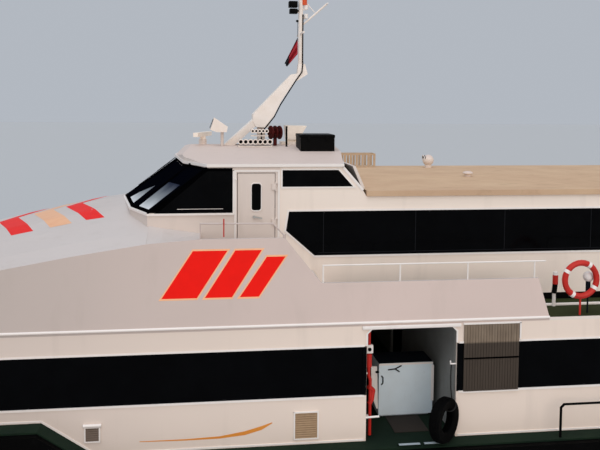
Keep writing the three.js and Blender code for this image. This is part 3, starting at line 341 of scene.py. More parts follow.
# %% [markdown]
# The rest of the paints and metals: blue-grey locker paint, satin black rails, brushed
# stainless, cast bronze and the cream of the mast, yellowed and specked with soot.
# %% Fittings' finishes
def brushed_paint(
    name, base, worn, roughness=0.5, stain="3F3A33", dirt=0.3, scale=3.0, specular=0.3,
):
    made, tree, shader = new_material(name, roughness, specular=specular)
    colour = stained(tree, linear(base), worn, (scale, 5.0), (0.4, 0.75), 0.7)
    colour = stained(tree, colour, stain, (scale * 4, 7.0, (1, 1, 0.4), 0.65), (0.6, 0.8), dirt)
    plug(shader, "Base Color", colour)
    bump(tree, shader, noise_value(tree, 220.0, 2.0), 0.0006, 0.6)
    return made


# the locker's blue-grey is made far paler than its own: painted daylight through the entrance, which
# the lobby's shade keeps off
LOCKER_GREY_PAINTED_LIGHT = brushed_paint("alkyd_paint_blue_grey_painted_light", "E0EEF4", "D8E4E8", 0.5, "A0A6A6", 0.25)
LOBBY_GREY = brushed_paint("alkyd_paint_lobby_grey", "92928E", "82827C", 0.6)
NAVY_PAINT = brushed_paint("alkyd_paint_navy", "10161F", "0C1018", 0.6, "080A0E", specular=0.1)
BLACK_PAINT = brushed_paint("satin_black_enamel", "040404", "080808", 0.5, "12100E", 0.3, 8.0, 0.05)
MAST_CREAM = brushed_paint("mast_enamel_cream", "F2E8DE", "E6D8CA", 0.5, "8A7C6C", 0.35, 4.0)
ORANGE_PAINT = brushed_paint("signal_orange_enamel", "D9572A", "C94E27", 0.45, "6E2A18", 0.2, 5.0)
RED_PAINT = brushed_paint("signal_red_enamel", "C4281E", "B0221A", 0.4, "5A140E", 0.25, 6.0)
BOOT_RED = brushed_paint("antifouling_red", "6B2D24", "5A2A22", 0.7, "3E3A2C", 0.5, 2.0)


def metal(name, base, roughness, grain):
    made, tree, shader = new_material(name, roughness, 1.0)
    shine = noise_value(tree, 12.0, 4.0, grain)
    plug(shader, "Roughness", band(tree, shine, 0.3, 0.7, roughness - 0.08, roughness + 0.12))
    colour = stained(tree, linear(base), "8C8880", (3.0, 4.0), (0.35, 0.75), 0.5)
    plug(shader, "Base Color", colour)
    return made


STAINLESS = metal("brushed_stainless_steel", "C4C4C0", 0.35, (1, 1, 8))
BRONZE = metal("cast_manganese_bronze", "B08A4C", 0.4, EVEN)
print(len(bpy.data.materials), "finishes so far")

# %% [markdown]
# Slats: the shutter beside the entrance is faded brown-grey, with long streaks along each
# slat. Its lower part is painted darker: painted shade, where the dark window band lies behind it.
# %% Weathered slats
SLAT, tree, shader = new_material("weathered_painted_slats", 0.8)
streaks = (1.0, 8.0, (30, 30, 2.2), 0.6)
colour = stained(tree, linear("8A7A68"), "746452", streaks, (0.35, 0.7))
colour = stained(tree, colour, "675849", (1.4, 4.0), (0.45, 0.65), 0.6)
# painted shade: below this height the slats are darkened, for the shade and the dark window band behind
# them
SLATS_SHADED_BELOW = 3.57  # below this height the slats are dark
height = node(tree, "ShaderNodeSeparateXYZ", i0=coordinates(tree)).outputs["Z"]
lower = band(tree, height, SLATS_SHADED_BELOW + 0.02, SLATS_SHADED_BELOW - 0.02, 0.0, 0.88)
colour = blend_colour(tree, lower, colour, linear("2C2219"))
plug(shader, "Base Color", colour)
bump(tree, shader, noise_value(tree, 1.0, 8.0, (60, 60, 3)), 0.002, 0.6)

# %% [markdown]
# Small finishes: window seams, clear glass, crate wood, rope, coir, flag nylon, paint marks.
# %% Small finishes
SEAM_GREY = rubber("window_seam_sealant", "1B1C1F", "26272A", 20.0)
REEL_RED = brushed_paint("oxide_red_enamel", "4E1614", "3A100E", 0.55, "1C0A08", 0.4, 6.0, 0.1)
PRINT_BLACK = brushed_paint(
    "printed_ceramic_border", "030304", "050506", 0.8, "060606", 0.1, specular=0.0)
VENT_BROWN = brushed_paint("vent_enamel_brown", "6E5E52", "625446", 0.6, "3A3028", 0.4, 8.0)
VENT_TAN = brushed_paint("vent_enamel_tan", "A88C6C", "94795C", 0.6, "5A4F40", 0.4, 8.0)
STRIPE_RED = brushed_paint("vinyl_film_red", "F01206", "E61005", 0.45, "B81408", 0.1, 4.0, 0.1)
PALE_ORANGE = brushed_paint("vinyl_film_pale_orange", "F2B78A", "ECA97A", 0.35, "C98A60", 0.1, 4.0)
SWOOSH_ORANGE = brushed_paint("vinyl_film_orange", "E09038", "D88030", 0.35, "A85A24", 0.15, 4.0)
CRATE_WOOD = brushed_paint("unpainted_pine_slats", "C0A88E", "B09878", 0.8, "7C6A56", 0.4, 5.0)
BOX_WHITE = brushed_paint("box_enamel_white", "FBEFE0", "F2E6D6", 0.45, "A89C8C", 0.2, 5.0)
CAP_GREY = brushed_paint("worn_sill_cap_grey", "A8B4BA", "98A4AA", 0.5, "6A7276", 0.3, 8.0)

# clear toughened glass, here opaque, with a painted sheen: pale at the foot, grey-blue higher up
CLEAR_GLASS_PAINTED_SHEEN, tree, shader = new_material("clear_glass_painted_sheen", 0.08, 0.0, 1.52, 0.0)
height = wavering_height(tree, 3.5, 0.12)
pane_sheen_ramp = node(tree, "ShaderNodeValToRGB", {}, i0=band(tree, height, 5.92, 6.42))
fade = ramp_stops(pane_sheen_ramp, [
    (0.0, "E0E2E3"), (0.2, "C0C5C8"), (0.5, "868C90"), (0.8, "555B64"), (1.0, "2A2F3E")])
plug(shader, "Base Color", fade)


def twisted_rope(name, base, groove, pitch):
    """Laid rope: the strands show as slanting dark lines."""
    made, tree, shader = new_material(name, 0.85)
    strands = node(
        tree, "ShaderNodeTexWave", {"wave_type": "BANDS", "bands_direction": "DIAGONAL"},
        Vector=coordinates(tree), Scale=pitch, Distortion=1.5, Detail=2.0).outputs["Fac"]
    colour = blend_colour(tree, band(tree, strands, 0.3, 0.7), linear(groove), linear(base))
    plug(shader, "Base Color", colour)
    bump(tree, shader, strands, 0.004)
    return made


TAR_ROPE = twisted_rope("tarred_rope", "141210", "080808", 14.0)
COIR = twisted_rope("coir_matting", "2E2318", "1C140C", 22.0)

FLAG_NYLON, tree, shader = new_material("woven_flag_nylon", 0.8)
# a red field lies low by the hoist; the upper edge and the tip are nearly black
BELOW_EDGE = (0.83, 0.0, -0.56)  # square to the flag's upper edge
lower = node(
    tree, "ShaderNodeVectorMath", {"operation": "DOT_PRODUCT"},
    i0=coordinates(tree), i1=BELOW_EDGE).outputs["Value"]
aft = node(tree, "ShaderNodeSeparateXYZ", i0=coordinates(tree)).outputs["X"]
field = node(
    tree, "ShaderNodeMath", {"operation": "MINIMUM"},
    i0=band(tree, lower, -7.515, -7.495), i1=band(tree, aft, -2.90, -2.87)).outputs[0]
plug(shader, "Base Color", blend_colour(tree, field, linear("15161F"), linear("A81E2C")))
bump(tree, shader, noise_value(tree, 300.0, 2.0), 0.0006)

# the upper deck's plate: green on top, white on its edge
UPPER_GREEN, tree, shader = new_material("epoxy_grit_paint_green_white_edge", 0.85, specular=0.1)
top = stained(tree, linear("2B311A"), "363C22", WORN_PATCHES, WORN_EDGES)
colour = blend_colour(tree, band(tree, facing_z(tree), 0.4, 0.6), linear("E8DED4"), top)
plug(shader, "Base Color", colour)
print(len(bpy.data.materials), "finishes")

# %% Dress the model's own pieces
def both(*names):
    """The port and the starboard node of each name."""
    return [f"{name}_{label}" for name in names for label in ("port", "starboard")]


FINISHES = [
    (HULL_PAINT, [*both("hull"), "bridge_deck"]),
    (BOOT_RED, both("rudder")),
    (TOPSIDE, [*both("main_side", "entrance_door"), "fore_wall", "main_aft_bulkhead", "main_aft_door"]),
    (BOW_WHITE_PAINTED_SHADE, ["nose_shell", *both("shoulder")]),
    (UPPER_WHITE, ["wheelhouse_walls", *both("wheelhouse_door")]),
    (CABIN_WHITE_PAINTED_LIGHT, [*both("upper_side"), "upper_aft_bulkhead", "upper_aft_door"]),
    (ROOF_WHITE, ["wheelhouse_roof", "cowl_vent"]),
    (BOX_WHITE, ["roof_box", "radar_scanner"]),
    (TRIM_WHITE, both("walkway_rail")),
    (DECK_GREEN_PAINTED_SHADE, ["main_deck"]),
    (UPPER_GREEN, ["upper_deck"]),
    (ROOF_TAN, ["cabin_roof"]),
    (DARK_GLASS, both("main_glass_fwd", "main_glass_aft", "upper_glass", "wheelhouse_glass")),
    (SCREEN_GLASS, ["windscreen_glass"]),
    (FENDER_RUBBER, ["rubbing_strake"]),
    (TYRE_RUBBER, ["tyre_fender"]),
    (LOBBY_GREY, ["entrance_lobby", "aft_stairs"]),
    (LOCKER_GREY_PAINTED_LIGHT, ["entrance_locker"]),
    (BLACK_PAINT, ["roof_locker", "mast_cable", *both("side_rail")]),
    (STAINLESS, ["aft_rail"]),
    (BRONZE, both("propeller")),
    (MAST_CREAM, ["mast", "searchlight"]),
    (SLAT, ["louvre_port"]),
    (CRATE_WOOD, ["roof_crate"]),
    (RED_PAINT, [*both("lifebuoy"), "flag"]),
]
for material, names in FINISHES:
    for name in names:
        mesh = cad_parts[name].data
        mesh.materials.clear()
        mesh.materials.append(material)
undressed = set(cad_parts) - {name for _, names in FINISHES for name in names}
print("nodes with no finish:", sorted(undressed))

# %% [markdown]
# From here on the lesson adds what is too small or too plain a job for the model: frames,
# beads, panes, lamps, ropes, cloth and paint marks. Each piece is a few bars, boxes, strips
# and rings in one mesh, so the helpers below make those with Blender's own operators.
# %% Shape helpers
PORT, STARBOARD = -1, 1
SIDES = (("port", PORT), ("starboard", STARBOARD))
HOUSE = 4.25  # half breadth of the main house
CABIN = 2.95  # half breadth of the upper cabin and wheelhouse
DECK, UPPER, WALK = 1.80, 4.00, 4.70  # heights of the decks and of the bulwark's top
SILL, HEAD = 5.85, 6.73  # wheelhouse windows
LEAN = 0.28  # how far the bulwark leans in for each metre of height


def lean_at(z):
    """Half breadth of the leaning bulwark's outer face at height z."""
    return HOUSE - (z - UPPER) * LEAN


def add_box(bm, low, high, bevel=0.0):
    low, high = Vector(low), Vector(high)
    size = Matrix.Diagonal((*(abs(v) for v in high - low), 1))
    middle = Matrix.Translation((low + high) / 2)
    verts = bmesh.ops.create_cube(bm, size=1, matrix=middle @ size)["verts"]
    if bevel:
        edges = list({edge for vert in verts for edge in vert.link_edges})
        bmesh.ops.bevel(
            bm, geom=edges, offset=bevel, segments=2, profile=0.5, affect="EDGES", material=-1)


def add_bar(bm, start, end, radius, sides=12):
    """A round bar."""
    start, end = Vector(start), Vector(end)
    turn = (end - start).to_track_quat("Z", "Y").to_matrix().to_4x4()
    bmesh.ops.create_cone(
        bm, cap_ends=True, segments=sides, radius1=radius, radius2=radius,
        depth=(end - start).length, matrix=Matrix.Translation((start + end) / 2) @ turn)


def add_ball(bm, centre, radius, sides=12, squash=1.0):
    size = Matrix.Diagonal((1, 1, squash, 1))
    bmesh.ops.create_uvsphere(
        bm, u_segments=sides, v_segments=sides // 2 + 1, radius=radius,
        matrix=Matrix.Translation(centre) @ size)


def add_run(bm, points, radius, sides=10):
    """Round bars through the points, with a ball at every bend."""
    for start, end in zip(points, points[1:]):
        add_bar(bm, start, end, radius, sides)
    for point in points[1:-1]:
        add_ball(bm, point, radius, sides)


def add_strip(bm, start, end, width, thick, out, overrun=0.0):
    """A flat strip from start to end, as wide as width, its face towards out."""
    start, end = Vector(start), Vector(end)
    along = (end - start).normalized()
    across = Vector(out).cross(along).normalized()
    turn = Matrix((along, across, along.cross(across))).transposed().to_4x4()
    size = Matrix.Diagonal(((end - start).length + 2 * overrun, width, thick, 1))
    bmesh.ops.create_cube(bm, size=1, matrix=Matrix.Translation((start + end) / 2) @ turn @ size)


def add_frame(bm, corners, width, thick, out, closed=True):
    """Strips round a run of corners."""
    ends = corners[1:] + corners[:1] if closed else corners[1:]
    for index, (start, end) in enumerate(zip(corners, ends)):
        # each strip a little thicker than the last, so no two faces lie in one plane
        add_strip(bm, start, end, width, thick + 0.0006 * index, out, width / 2)


def add_plan_strips(bm, plan, z, width, thick, overrun):
    """Strips along a line seen from above, on both sides of the boat, facing out."""
    for side in (PORT, STARBOARD):
        for (x0, y0), (x1, y1) in zip(plan, plan[1:]):
            out = (y1 - y0, side * abs(x1 - x0), 0)
            add_strip(bm, (x0, side * y0, z), (x1, side * y1, z), width, thick, out, overrun)


def add_plate(bm, corners, thickness):
    """A flat plate with the given corners, made thick along the vector thickness."""
    face = bm.faces.new([bm.verts.new(corner) for corner in corners])
    grown = bmesh.ops.extrude_face_region(bm, geom=[face])["geom"]
    moved = [part for part in grown if isinstance(part, bmesh.types.BMVert)]
    bmesh.ops.translate(bm, verts=moved, vec=Vector(thickness))


def add_ring(bm, centre, axis, radius, thick, steps, sides):
    """A round ring about an axis through the centre."""
    axis = Vector(axis).normalized()
    side = axis.orthogonal().normalized()
    spot = Vector(centre) + side * radius
    turn = Matrix((side, axis, side.cross(axis))).transposed().to_4x4()
    circle = bmesh.ops.create_circle(
        bm, cap_ends=False, segments=sides, radius=thick, matrix=Matrix.Translation(spot) @ turn)
    edges = list({edge for vert in circle["verts"] for edge in vert.link_edges})
    bmesh.ops.spin(
        bm, geom=edges, cent=centre, axis=axis, angle=math.tau, steps=steps, use_merge=True)


SHARP = math.radians(38)  # edges steeper than this stay sharp


def place(name, bm, material, slot, body="ferry"):
    """Finishes a piece: faces out, smooth where it is round, on its body; the slot is not used."""
    bmesh.ops.recalc_face_normals(bm, faces=bm.faces)
    piece = make_object(name, bm, material, smooth=True)
    piece.data.set_sharp_from_angle(angle=SHARP)
    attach(piece, body)
    return piece


print("shape helpers ready")

# %% [markdown]
# Window frames: each dark band is bonded glass in a hole in the plate, edged by a pressed
# aluminium frame that the photograph shows as a bright white line, two pixels wide.
# Strips of 36 mm stand 12 mm proud of the wall and cover the joint, as the real ones do.
# %% Frames round the window bands
# the two lower frames are open where the bands end at the entrance
FORWARD_BAND = [(-2.0, 2.65), (-9.1, 2.65), (-9.3, 2.9), (-8.7, 3.58), (-2.0, 3.58)]
AFTER_BAND = [(-0.18, 3.58), (8.9, 3.58), (8.9, 2.65), (-0.18, 2.65)]
UPPER_BAND = [(-3.3, 5.48), (-3.24, 5.88), (7.8, 5.88), (7.8, 4.97), (-2.72, 4.97)]
FRAME_WIDTH, FRAME_PROUD = 0.036, 0.02


def on_side(points, y):
    return [(x, y, z) for x, z in points]


for label, side in SIDES:
    bm = bmesh.new()
    for outline in (FORWARD_BAND, AFTER_BAND):
        corners = on_side(outline, side * (HOUSE + 0.002))
        add_frame(bm, corners, FRAME_WIDTH, FRAME_PROUD, (0, side, 0), closed=False)
    add_frame(bm, on_side(UPPER_BAND, side * (CABIN + 0.002)), FRAME_WIDTH, FRAME_PROUD, (0, side, 0))
    place("window_frames_" + label, bm, TRIM_WHITE, "hull_white")

# %% Seams between the upper panes, dark edges at the entrance
PANE_LENGTH = 1.86
SEAM_LOW, SEAM_HIGH = 5.04, 5.86
for label, side in SIDES:
    bm = bmesh.new()
    face = side * (CABIN - 0.009)
    x = -2.54
    while x < 7.7:
        add_strip(bm, (x, face, SEAM_LOW), (x, face, SEAM_HIGH), 0.012, 0.004, (0, side, 0))
        x += PANE_LENGTH
    add_strip(bm, (-2.64, face, SEAM_LOW), (7.78, face, SEAM_LOW), 0.01, 0.004, (0, side, 0))
    place("pane_seams_" + label, bm, SEAM_GREY, "black_rubber")
    # dark film runs on over the plate, right up to the entrance
    bm = bmesh.new()
    after_end = -0.11 if side == PORT else -0.16
    for x0, x1 in ((-2.02, -1.942), (-0.238, after_end)):
        corners = [(x0, 2.662), (x1, 2.662), (x1, 3.568), (x0, 3.568)]
        add_plate(bm, on_side(corners, side * (HOUSE + 0.0005)), (0, side * 0.003, 0))
    place("band_ends_" + label, bm, DARK_GLASS, "dark_glass")
print("frames and seams on", len(SIDES), "sides")

# %% [markdown]
# Beads and lips: a half-round bead runs along the knuckle where the wall meets the upper
# deck and goes on round the bow; a low lip runs along the foot of the wall. They are
# extruded sections welded on, and they catch the light as thin pale lines.
# %% Knuckle bead and wall foot
KNUCKLE = [(1.55, 4.25), (-9.6, 4.25), (-10.5, 4.10), (-11.25, 3.63), (-11.8, 2.75), (-12.09, 1.35)]
BEAD_HEIGHT, BEAD_RADIUS = 4.0, 0.026
STEP = 2.42  # height of the raised fore deck
WALL_FOOT = [
    ((-6.75, DECK), (-1.98, DECK)), ((-0.2, DECK), (9.6, DECK)),
    ((-7.66, STEP), (-6.75, DECK)), ((-9.6, STEP), (-7.66, STEP)),
]
LIP = 0.03
for label, side in SIDES:
    bm = bmesh.new()
    round_bow = [(x, side * y, BEAD_HEIGHT) for x, y in KNUCKLE]
    add_run(bm, round_bow + [(KNUCKLE[-1][0], 0, BEAD_HEIGHT)], BEAD_RADIUS)
    for (x0, z0), (x1, z1) in WALL_FOOT:
        start = (x0, side * HOUSE, z0 + LIP)
        add_strip(bm, start, (x1, side * HOUSE, z1 + LIP), LIP, LIP, (0, side, 0))
    place("knuckle_bead_" + label, bm, TRIM_WHITE, "hull_white")

# %% [markdown]
# The wheelhouse front. Real panes are dark glass with a black printed border, clear only in
# the lower middle. The clear parts are thin opaque panes set at the dark glass, with the light in
# them painted on: pale at the foot, grey-blue above. The fore one to port is partly sunk in it.
# %% Clear parts of the windscreen
FACETS = [
    # foot at the middle, foot outboard, head at the middle, head outboard
    ((-6.62, 0.0), (-6.32, 2.0), (-5.42, 0.0), (-5.23, 1.95)),
    ((-6.32, 2.0), (-5.93, 2.95), (-5.23, 1.95), (-4.81, 2.95)),
]
CLEAR = [
    # from and to across the facet, from and to up it
    (0.42, 0.9, 0.07, 0.62),
    (0.3, 0.85, 0.07, 0.6),
]
CORNER = ((-5.93, 5.85), (-4.81, 6.73))  # foot and head of the facets' outer edge
SIDE_BORDER = [
    (-5.915, 5.86), (-5.74, 5.86), (-4.80, 6.655), (-4.32, 6.655), (-4.32, 6.715), (-4.83, 6.715),
]


def on_facet(facet, across, up, side, proud):
    """A point of a windscreen facet, across it and up it, standing proud of its face."""
    foot_in, foot_out, head_in, head_out = (Vector((x, side * y, 0)) for x, y in facet)
    foot_in.z = foot_out.z = SILL
    head_in.z = head_out.z = HEAD
    low = foot_in.lerp(foot_out, across)
    high = head_in.lerp(head_out, across)
    normal = (foot_out - foot_in).cross(head_in - foot_in).normalized()
    if normal.x > 0:
        normal = -normal
    return low.lerp(high, up) + normal * proud, normal


for label, side in SIDES:
    for index, (facet, (a0, a1, u0, u1)) in enumerate(zip(FACETS, CLEAR)):
        bm = bmesh.new()
        ends = ((a0, u0), (a1, u0), (a1, u1), (a0, u1))
        corners = [on_facet(facet, across, up, side, 0.0005) for across, up in ends]
        add_plate(bm, [corner for corner, _ in corners], corners[0][1] * 0.0025)
        place(f"clear_pane_{label}_{index}", bm, CLEAR_GLASS_PAINTED_SHEEN, "dark_glass")
    bm = bmesh.new()
    (x0, z0), (x1, z1) = CORNER
    add_bar(bm, (x0, side * CABIN, z0), (x1, side * CABIN, z1), 0.016, 8)
    add_plate(bm, on_side(SIDE_BORDER, side * (CABIN + 0.001)), (0, side * 0.004, 0))
    for facet in FACETS:
        for up in (0.035, 0.965):
            start, normal = on_facet(facet, 0.0, up, side, 0.002)
            end, _ = on_facet(facet, 1.0, up, side, 0.002)
            add_strip(bm, start, end, 0.06, 0.004, normal)
    place("windscreen_border_" + label, bm, PRINT_BLACK, "black_rubber")

# %% Wipers, sill bead and frames of the wheelhouse
for label, side in SIDES:
    bm = bmesh.new()
    for facet in FACETS:
        pivot, normal = on_facet(facet, 0.34, 0.99, side, 0.035)
        elbow, _ = on_facet(facet, 0.27, 0.55, side, 0.03)
        low, _ = on_facet(facet, 0.2, 0.2, side, 0.022)
        high, _ = on_facet(facet, 0.26, 0.8, side, 0.022)
        add_bar(bm, pivot, elbow, 0.009, 8)
        add_strip(bm, low, high, 0.022, 0.012, normal)
        add_bar(bm, pivot - normal * 0.04, pivot + normal * 0.02, 0.035, 12)
    place("wipers_" + label, bm, PRINT_BLACK, "black_paint")

SILL_PLAN = [(-4.3, 2.95), (-5.93, 2.95), (-6.32, 2.0), (-6.62, 0.0)]
bm = bmesh.new()
add_plan_strips(bm, SILL_PLAN, 5.83, 0.04, 0.05, 0.01)
for side in (PORT, STARBOARD):
    face = side * (CABIN + 0.004)
    add_strip(bm, (-5.37, face, 5.93), (-4.5, face, 5.93), 0.008, 0.006, (0, side, 0))
    add_strip(bm, (-4.3, face, 5.83), (-4.3, face, 6.66), 0.03, 0.02, (0, side, 0))
place("wheelhouse_sill_bead", bm, TRIM_WHITE, "hull_white")
print("windscreen dressed")

# %% [markdown]
# Wheelhouse doors: aluminium leaves with a small round-cornered window, a lever and a
# catch. The frame stays on the wall; the window, its rim and the lever ride on the leaf.
# %% Wheelhouse doors
DOOR_LIGHT = (-3.95, -3.77, 5.89, 6.41)
CORNER_STEPS = 4


def rounded(x0, x1, z0, z1, radius):
    """Points round an upright rectangle with round corners."""
    points = []
    for cx, cz, first in ((x1 - radius, z1 - radius, 0), (x0 + radius, z1 - radius, 90),
                          (x0 + radius, z0 + radius, 180), (x1 - radius, z0 + radius, 270)):
        for k in range(CORNER_STEPS + 1):
            angle = math.radians(first + 90 * k / CORNER_STEPS)
            points.append((cx + radius * math.cos(angle), cz + radius * math.sin(angle)))
    return points


for label, side in SIDES:
    body = "wheelhouse_door_" + label
    x0, x1, z0, z1 = DOOR_LIGHT
    face = side * (CABIN - 0.006)
    bm = bmesh.new()
    add_plate(bm, on_side(rounded(x0, x1, z0, z1, 0.05), face - side * 0.02), (0, -side * 0.008, 0))
    place("door_window_" + label, bm, DARK_GLASS, "dark_glass", body)
    bm = bmesh.new()
    rim = on_side(rounded(x0 - 0.01, x1 + 0.01, z0 - 0.01, z1 + 0.01, 0.06), face + side * 0.004)
    add_run(bm, rim + rim[:1], 0.012, 8)
    place("door_window_rim_" + label, bm, TRIM_WHITE, "hull_white", body)
    bm = bmesh.new()
    add_bar(bm, (-3.9, face, 5.77), (-3.9, face + side * 0.05, 5.77), 0.028, 12)
    grip = face + side * 0.05
    add_strip(bm, (-3.91, grip, 5.78), (-3.75, grip, 5.74), 0.028, 0.016, (0, side, 0))
    place("door_lever_" + label, bm, STAINLESS, "stainless", body)
    bm = bmesh.new()
    proud = side * (CABIN + 0.002)
    frame_line = [(-4.265, WALK + 0.02), (-4.265, 6.66), (-3.425, 6.66), (-3.425, WALK + 0.02)]
    add_frame(bm, on_side(frame_line, proud), 0.04, 0.026, (0, side, 0), closed=False)
    add_bar(bm, (-4.255, proud, 6.5), (-4.255, proud + side * 0.06, 6.5), 0.014, 8)
    place("door_frame_" + label, bm, TRIM_WHITE, "hull_white")

# %% Dark panel beside the raised block, aft of the door
for label, side in SIDES:
    block = [(-3.37, 6.33), (-3.37, 6.685), (-2.25, 6.685), (-1.93, 6.33)]
    bm = bmesh.new()
    add_plate(bm, on_side(block, side * (CABIN + 0.001)), (0, side * 0.006, 0))
    place("block_window_" + label, bm, DARK_GLASS, "dark_glass")
    bm = bmesh.new()
    add_frame(bm, on_side(block, side * (CABIN + 0.004)), 0.03, 0.018, (0, side, 0))
    face = side * (CABIN + 0.004)
    add_strip(bm, (-2.16, face, HEAD - 0.01), (-1.76, face, 6.27), 0.05, 0.02, (0, side, 0))
    place("block_window_frame_" + label, bm, TRIM_WHITE, "hull_white")

# %% Rim of the wheelhouse roof
ROOF_EDGE = [(-1.85, 0.0), (-1.9, 1.3), (-2.16, 2.98), (-4.8, 2.98), (-5.26, 2.0), (-5.48, 0.0)]
bm = bmesh.new()
add_plan_strips(bm, ROOF_EDGE, 6.765, 0.055, 0.03, 0.008)
place("wheelhouse_roof_rim", bm, TRIM_WHITE, "hull_white")
print("doors, block windows and roof rim")

# %% [markdown]
# The roof: a searchlight with its dark lens, a reel with three discs and a rack of short
# drums at the mast's foot. The mast carries the flag, a lamp, a horn and a signal ball.
# %% Mast head
bm = bmesh.new()
add_box(bm, (-2.9, -0.09, 10.16), (-2.7, 0.09, 10.3), 0.012)
add_box(bm, (-2.88, -0.09, 10.02), (-2.7, 0.09, 10.13), 0.012)
add_bar(bm, (-2.72, 0, 10.08), (-2.6, 0, 10.08), 0.03)
add_bar(bm, (-2.73, 0, 9.86), (-2.64, 0, 9.86), 0.012, 8)
add_ball(bm, (-2.7, 0, 9.855), 0.03, 16)
add_bar(bm, (-2.69, 0, 9.85), (-2.69, 0, 9.5), 0.005, 6)
place("mast_horn_and_ball", bm, BLACK_PAINT, "black_paint")
bm = bmesh.new()
add_bar(bm, (-2.54, 0, 10.22), (-2.54, 0, 10.36), 0.065, 16)
add_ball(bm, (-2.54, 0, 10.36), 0.065, 16, 0.5)
place("mast_anchor_lamp", bm, ORANGE_PAINT, "red_plastic")
bm = bmesh.new()
for x, z in ((-2.5, 10.17), (-2.5, 9.97)):
    add_bar(bm, (x, 0, z - 0.05), (x, 0, z + 0.05), 0.05, 14)
    add_bar(bm, (x - 0.1, 0, z - 0.05), (x, 0, z - 0.05), 0.018, 8)
add_bar(bm, (-2.01, -0.11, 10.265), (-2.01, 0.11, 10.265), 0.016, 8)
add_bar(bm, (-2.47, 0, 10.25), (-2.30, 0, 10.06), 0.012, 8)
place("mast_white_lamps", bm, TRIM_WHITE, "hull_white")

# %% Reel and drums at the mast's foot
REEL = Vector((-3.23, -0.3, 7.3))
REEL_AXIS = Vector((1, 0.35, 0)).normalized()
bm = bmesh.new()
for along in (-0.1, 0.0, 0.1):
    centre = REEL + Vector((along, 0, 0))
    add_bar(bm, centre - REEL_AXIS * 0.012, centre + REEL_AXIS * 0.012, 0.155, 24)
add_bar(bm, REEL - REEL_AXIS * 0.12, REEL + REEL_AXIS * 0.12, 0.03, 12)
add_box(bm, REEL + Vector((-0.04, -0.05, -0.3)), REEL + Vector((0.04, 0.05, -0.14)), 0.01)
place("hose_reel", bm, REEL_RED, "red_plastic")
DRUM_ROWS = [
    # first and last x, height, how many
    (-3.8, -3.41, 7.34, 5), (-4.08, -3.32, 7.1, 7),
]
rims = bmesh.new()
bodies = bmesh.new()
for first, last, z, drums in DRUM_ROWS:
    pitch = (last - first) / drums
    radius = 0.46 * pitch
    for k in range(drums):
        x = first + (k + 0.5) * pitch
        add_ring(rims, (x, -0.62, z), (0, 1, 0), radius, 0.012, 20, 6)
        add_bar(bodies, (x, -0.61, z), (x, -0.4, z), radius, 16)
    add_box(rims, (first, -0.6, z - 0.115), (last, -0.4, z - 0.095))
for x in (-4.06, -3.34):
    add_box(rims, (x - 0.02, -0.56, 6.96), (x + 0.02, -0.44, 7.02))
place("drum_rims", rims, MAST_CREAM, "mast_cream")
place("drum_bodies", bodies, BLACK_PAINT, "black_paint")
bm = bmesh.new()
add_bar(bm, (-2.99, -0.5, 6.98), (-2.99, -0.5, 7.45), 0.022, 10)
place("roof_post", bm, BLACK_PAINT, "black_paint")

# %% Searchlight lens, roof locker lid
bm = bmesh.new()
lens = [(-4.708, -0.5, 7.4), (-4.708, -0.2, 7.4), (-4.63, -0.2, 7.6), (-4.63, -0.5, 7.6)]
add_plate(bm, lens, (-0.006, 0, 0.002))
place("searchlight_lens", bm, DARK_GLASS, "dark_glass")
bm = bmesh.new()
add_box(bm, (-2.785, -1.31, 7.225), (-2.025, -0.49, 7.285), 0.008)
for x in (-2.6, -2.2):
    add_box(bm, (x - 0.03, -1.32, 7.15), (x + 0.03, -1.305, 7.25), 0.004)
place("roof_locker_lid", bm, BLACK_PAINT, "black_paint")

# %% [markdown]
# The flag: light nylon, hanging limp from its hoist, so it gathers in folds that close up
# towards the tip. It is a sheet of 0.67 by 0.39 m and stands for the model's plate. Folds
# take up the cloth that a hanging flag has to spare, so its real size is kept.
# %% Flag
FLAG_LENGTH, FLAG_DROP = 0.67, 0.39
HOIST_TOP = Vector((-2.684, 0, 9.49))
FLY = Vector((-0.30, 0, -0.60))  # from the hoist's top to the tip's top
TIP_DROP, TIP_AFT = 0.09, 0.05
FOLDS = 2
slant = (FLY.x / FLY.length) ** 2
cloth = bmesh.new()
COLUMNS, ROWS = 24, 48
bmesh.ops.create_grid(cloth, x_segments=COLUMNS, y_segments=ROWS, size=0.5)
for vert in cloth.verts:
    along, down = vert.co.x + 0.5, 0.5 - vert.co.y
    drop = FLAG_DROP * (1 - along) + TIP_DROP * along
    depth = math.sqrt(FLAG_DROP ** 2 - slant * drop ** 2) / (4 * FOLDS) * min(1.0, 6 * along)
    fold = depth * math.sin(math.tau * FOLDS * down)
    vert.co = HOIST_TOP + FLY * along + Vector((TIP_AFT * along * down, fold, -drop * down))
flag = place("flag_cloth", cloth, FLAG_NYLON, "flag_cloth")
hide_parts("flag")
print("mast dressed")

# %% [markdown]
# Saloon roof: the cowl's dark mouth faces forward, a mushroom vent sits near the middle.
# %% Roof vents
bm = bmesh.new()
add_ring(bm, (1.055, 2.25, 6.5), (1, 0, 0.15), 0.1, 0.012, 28, 8)
place("cowl_rim", bm, TRIM_WHITE, "hull_white")
bm = bmesh.new()
add_bar(bm, (1.05, 2.25, 6.5), (1.09, 2.25, 6.505), 0.098, 24)
place("cowl_mouth", bm, BLACK_PAINT, "black_paint")
bm = bmesh.new()
add_bar(bm, (1.28, -0.5, 6.28), (1.28, -0.5, 6.36), 0.07, 16)
add_ball(bm, (1.28, -0.5, 6.37), 0.12, 20, 0.4)
place("mushroom_vent", bm, ROOF_WHITE, "hull_white")

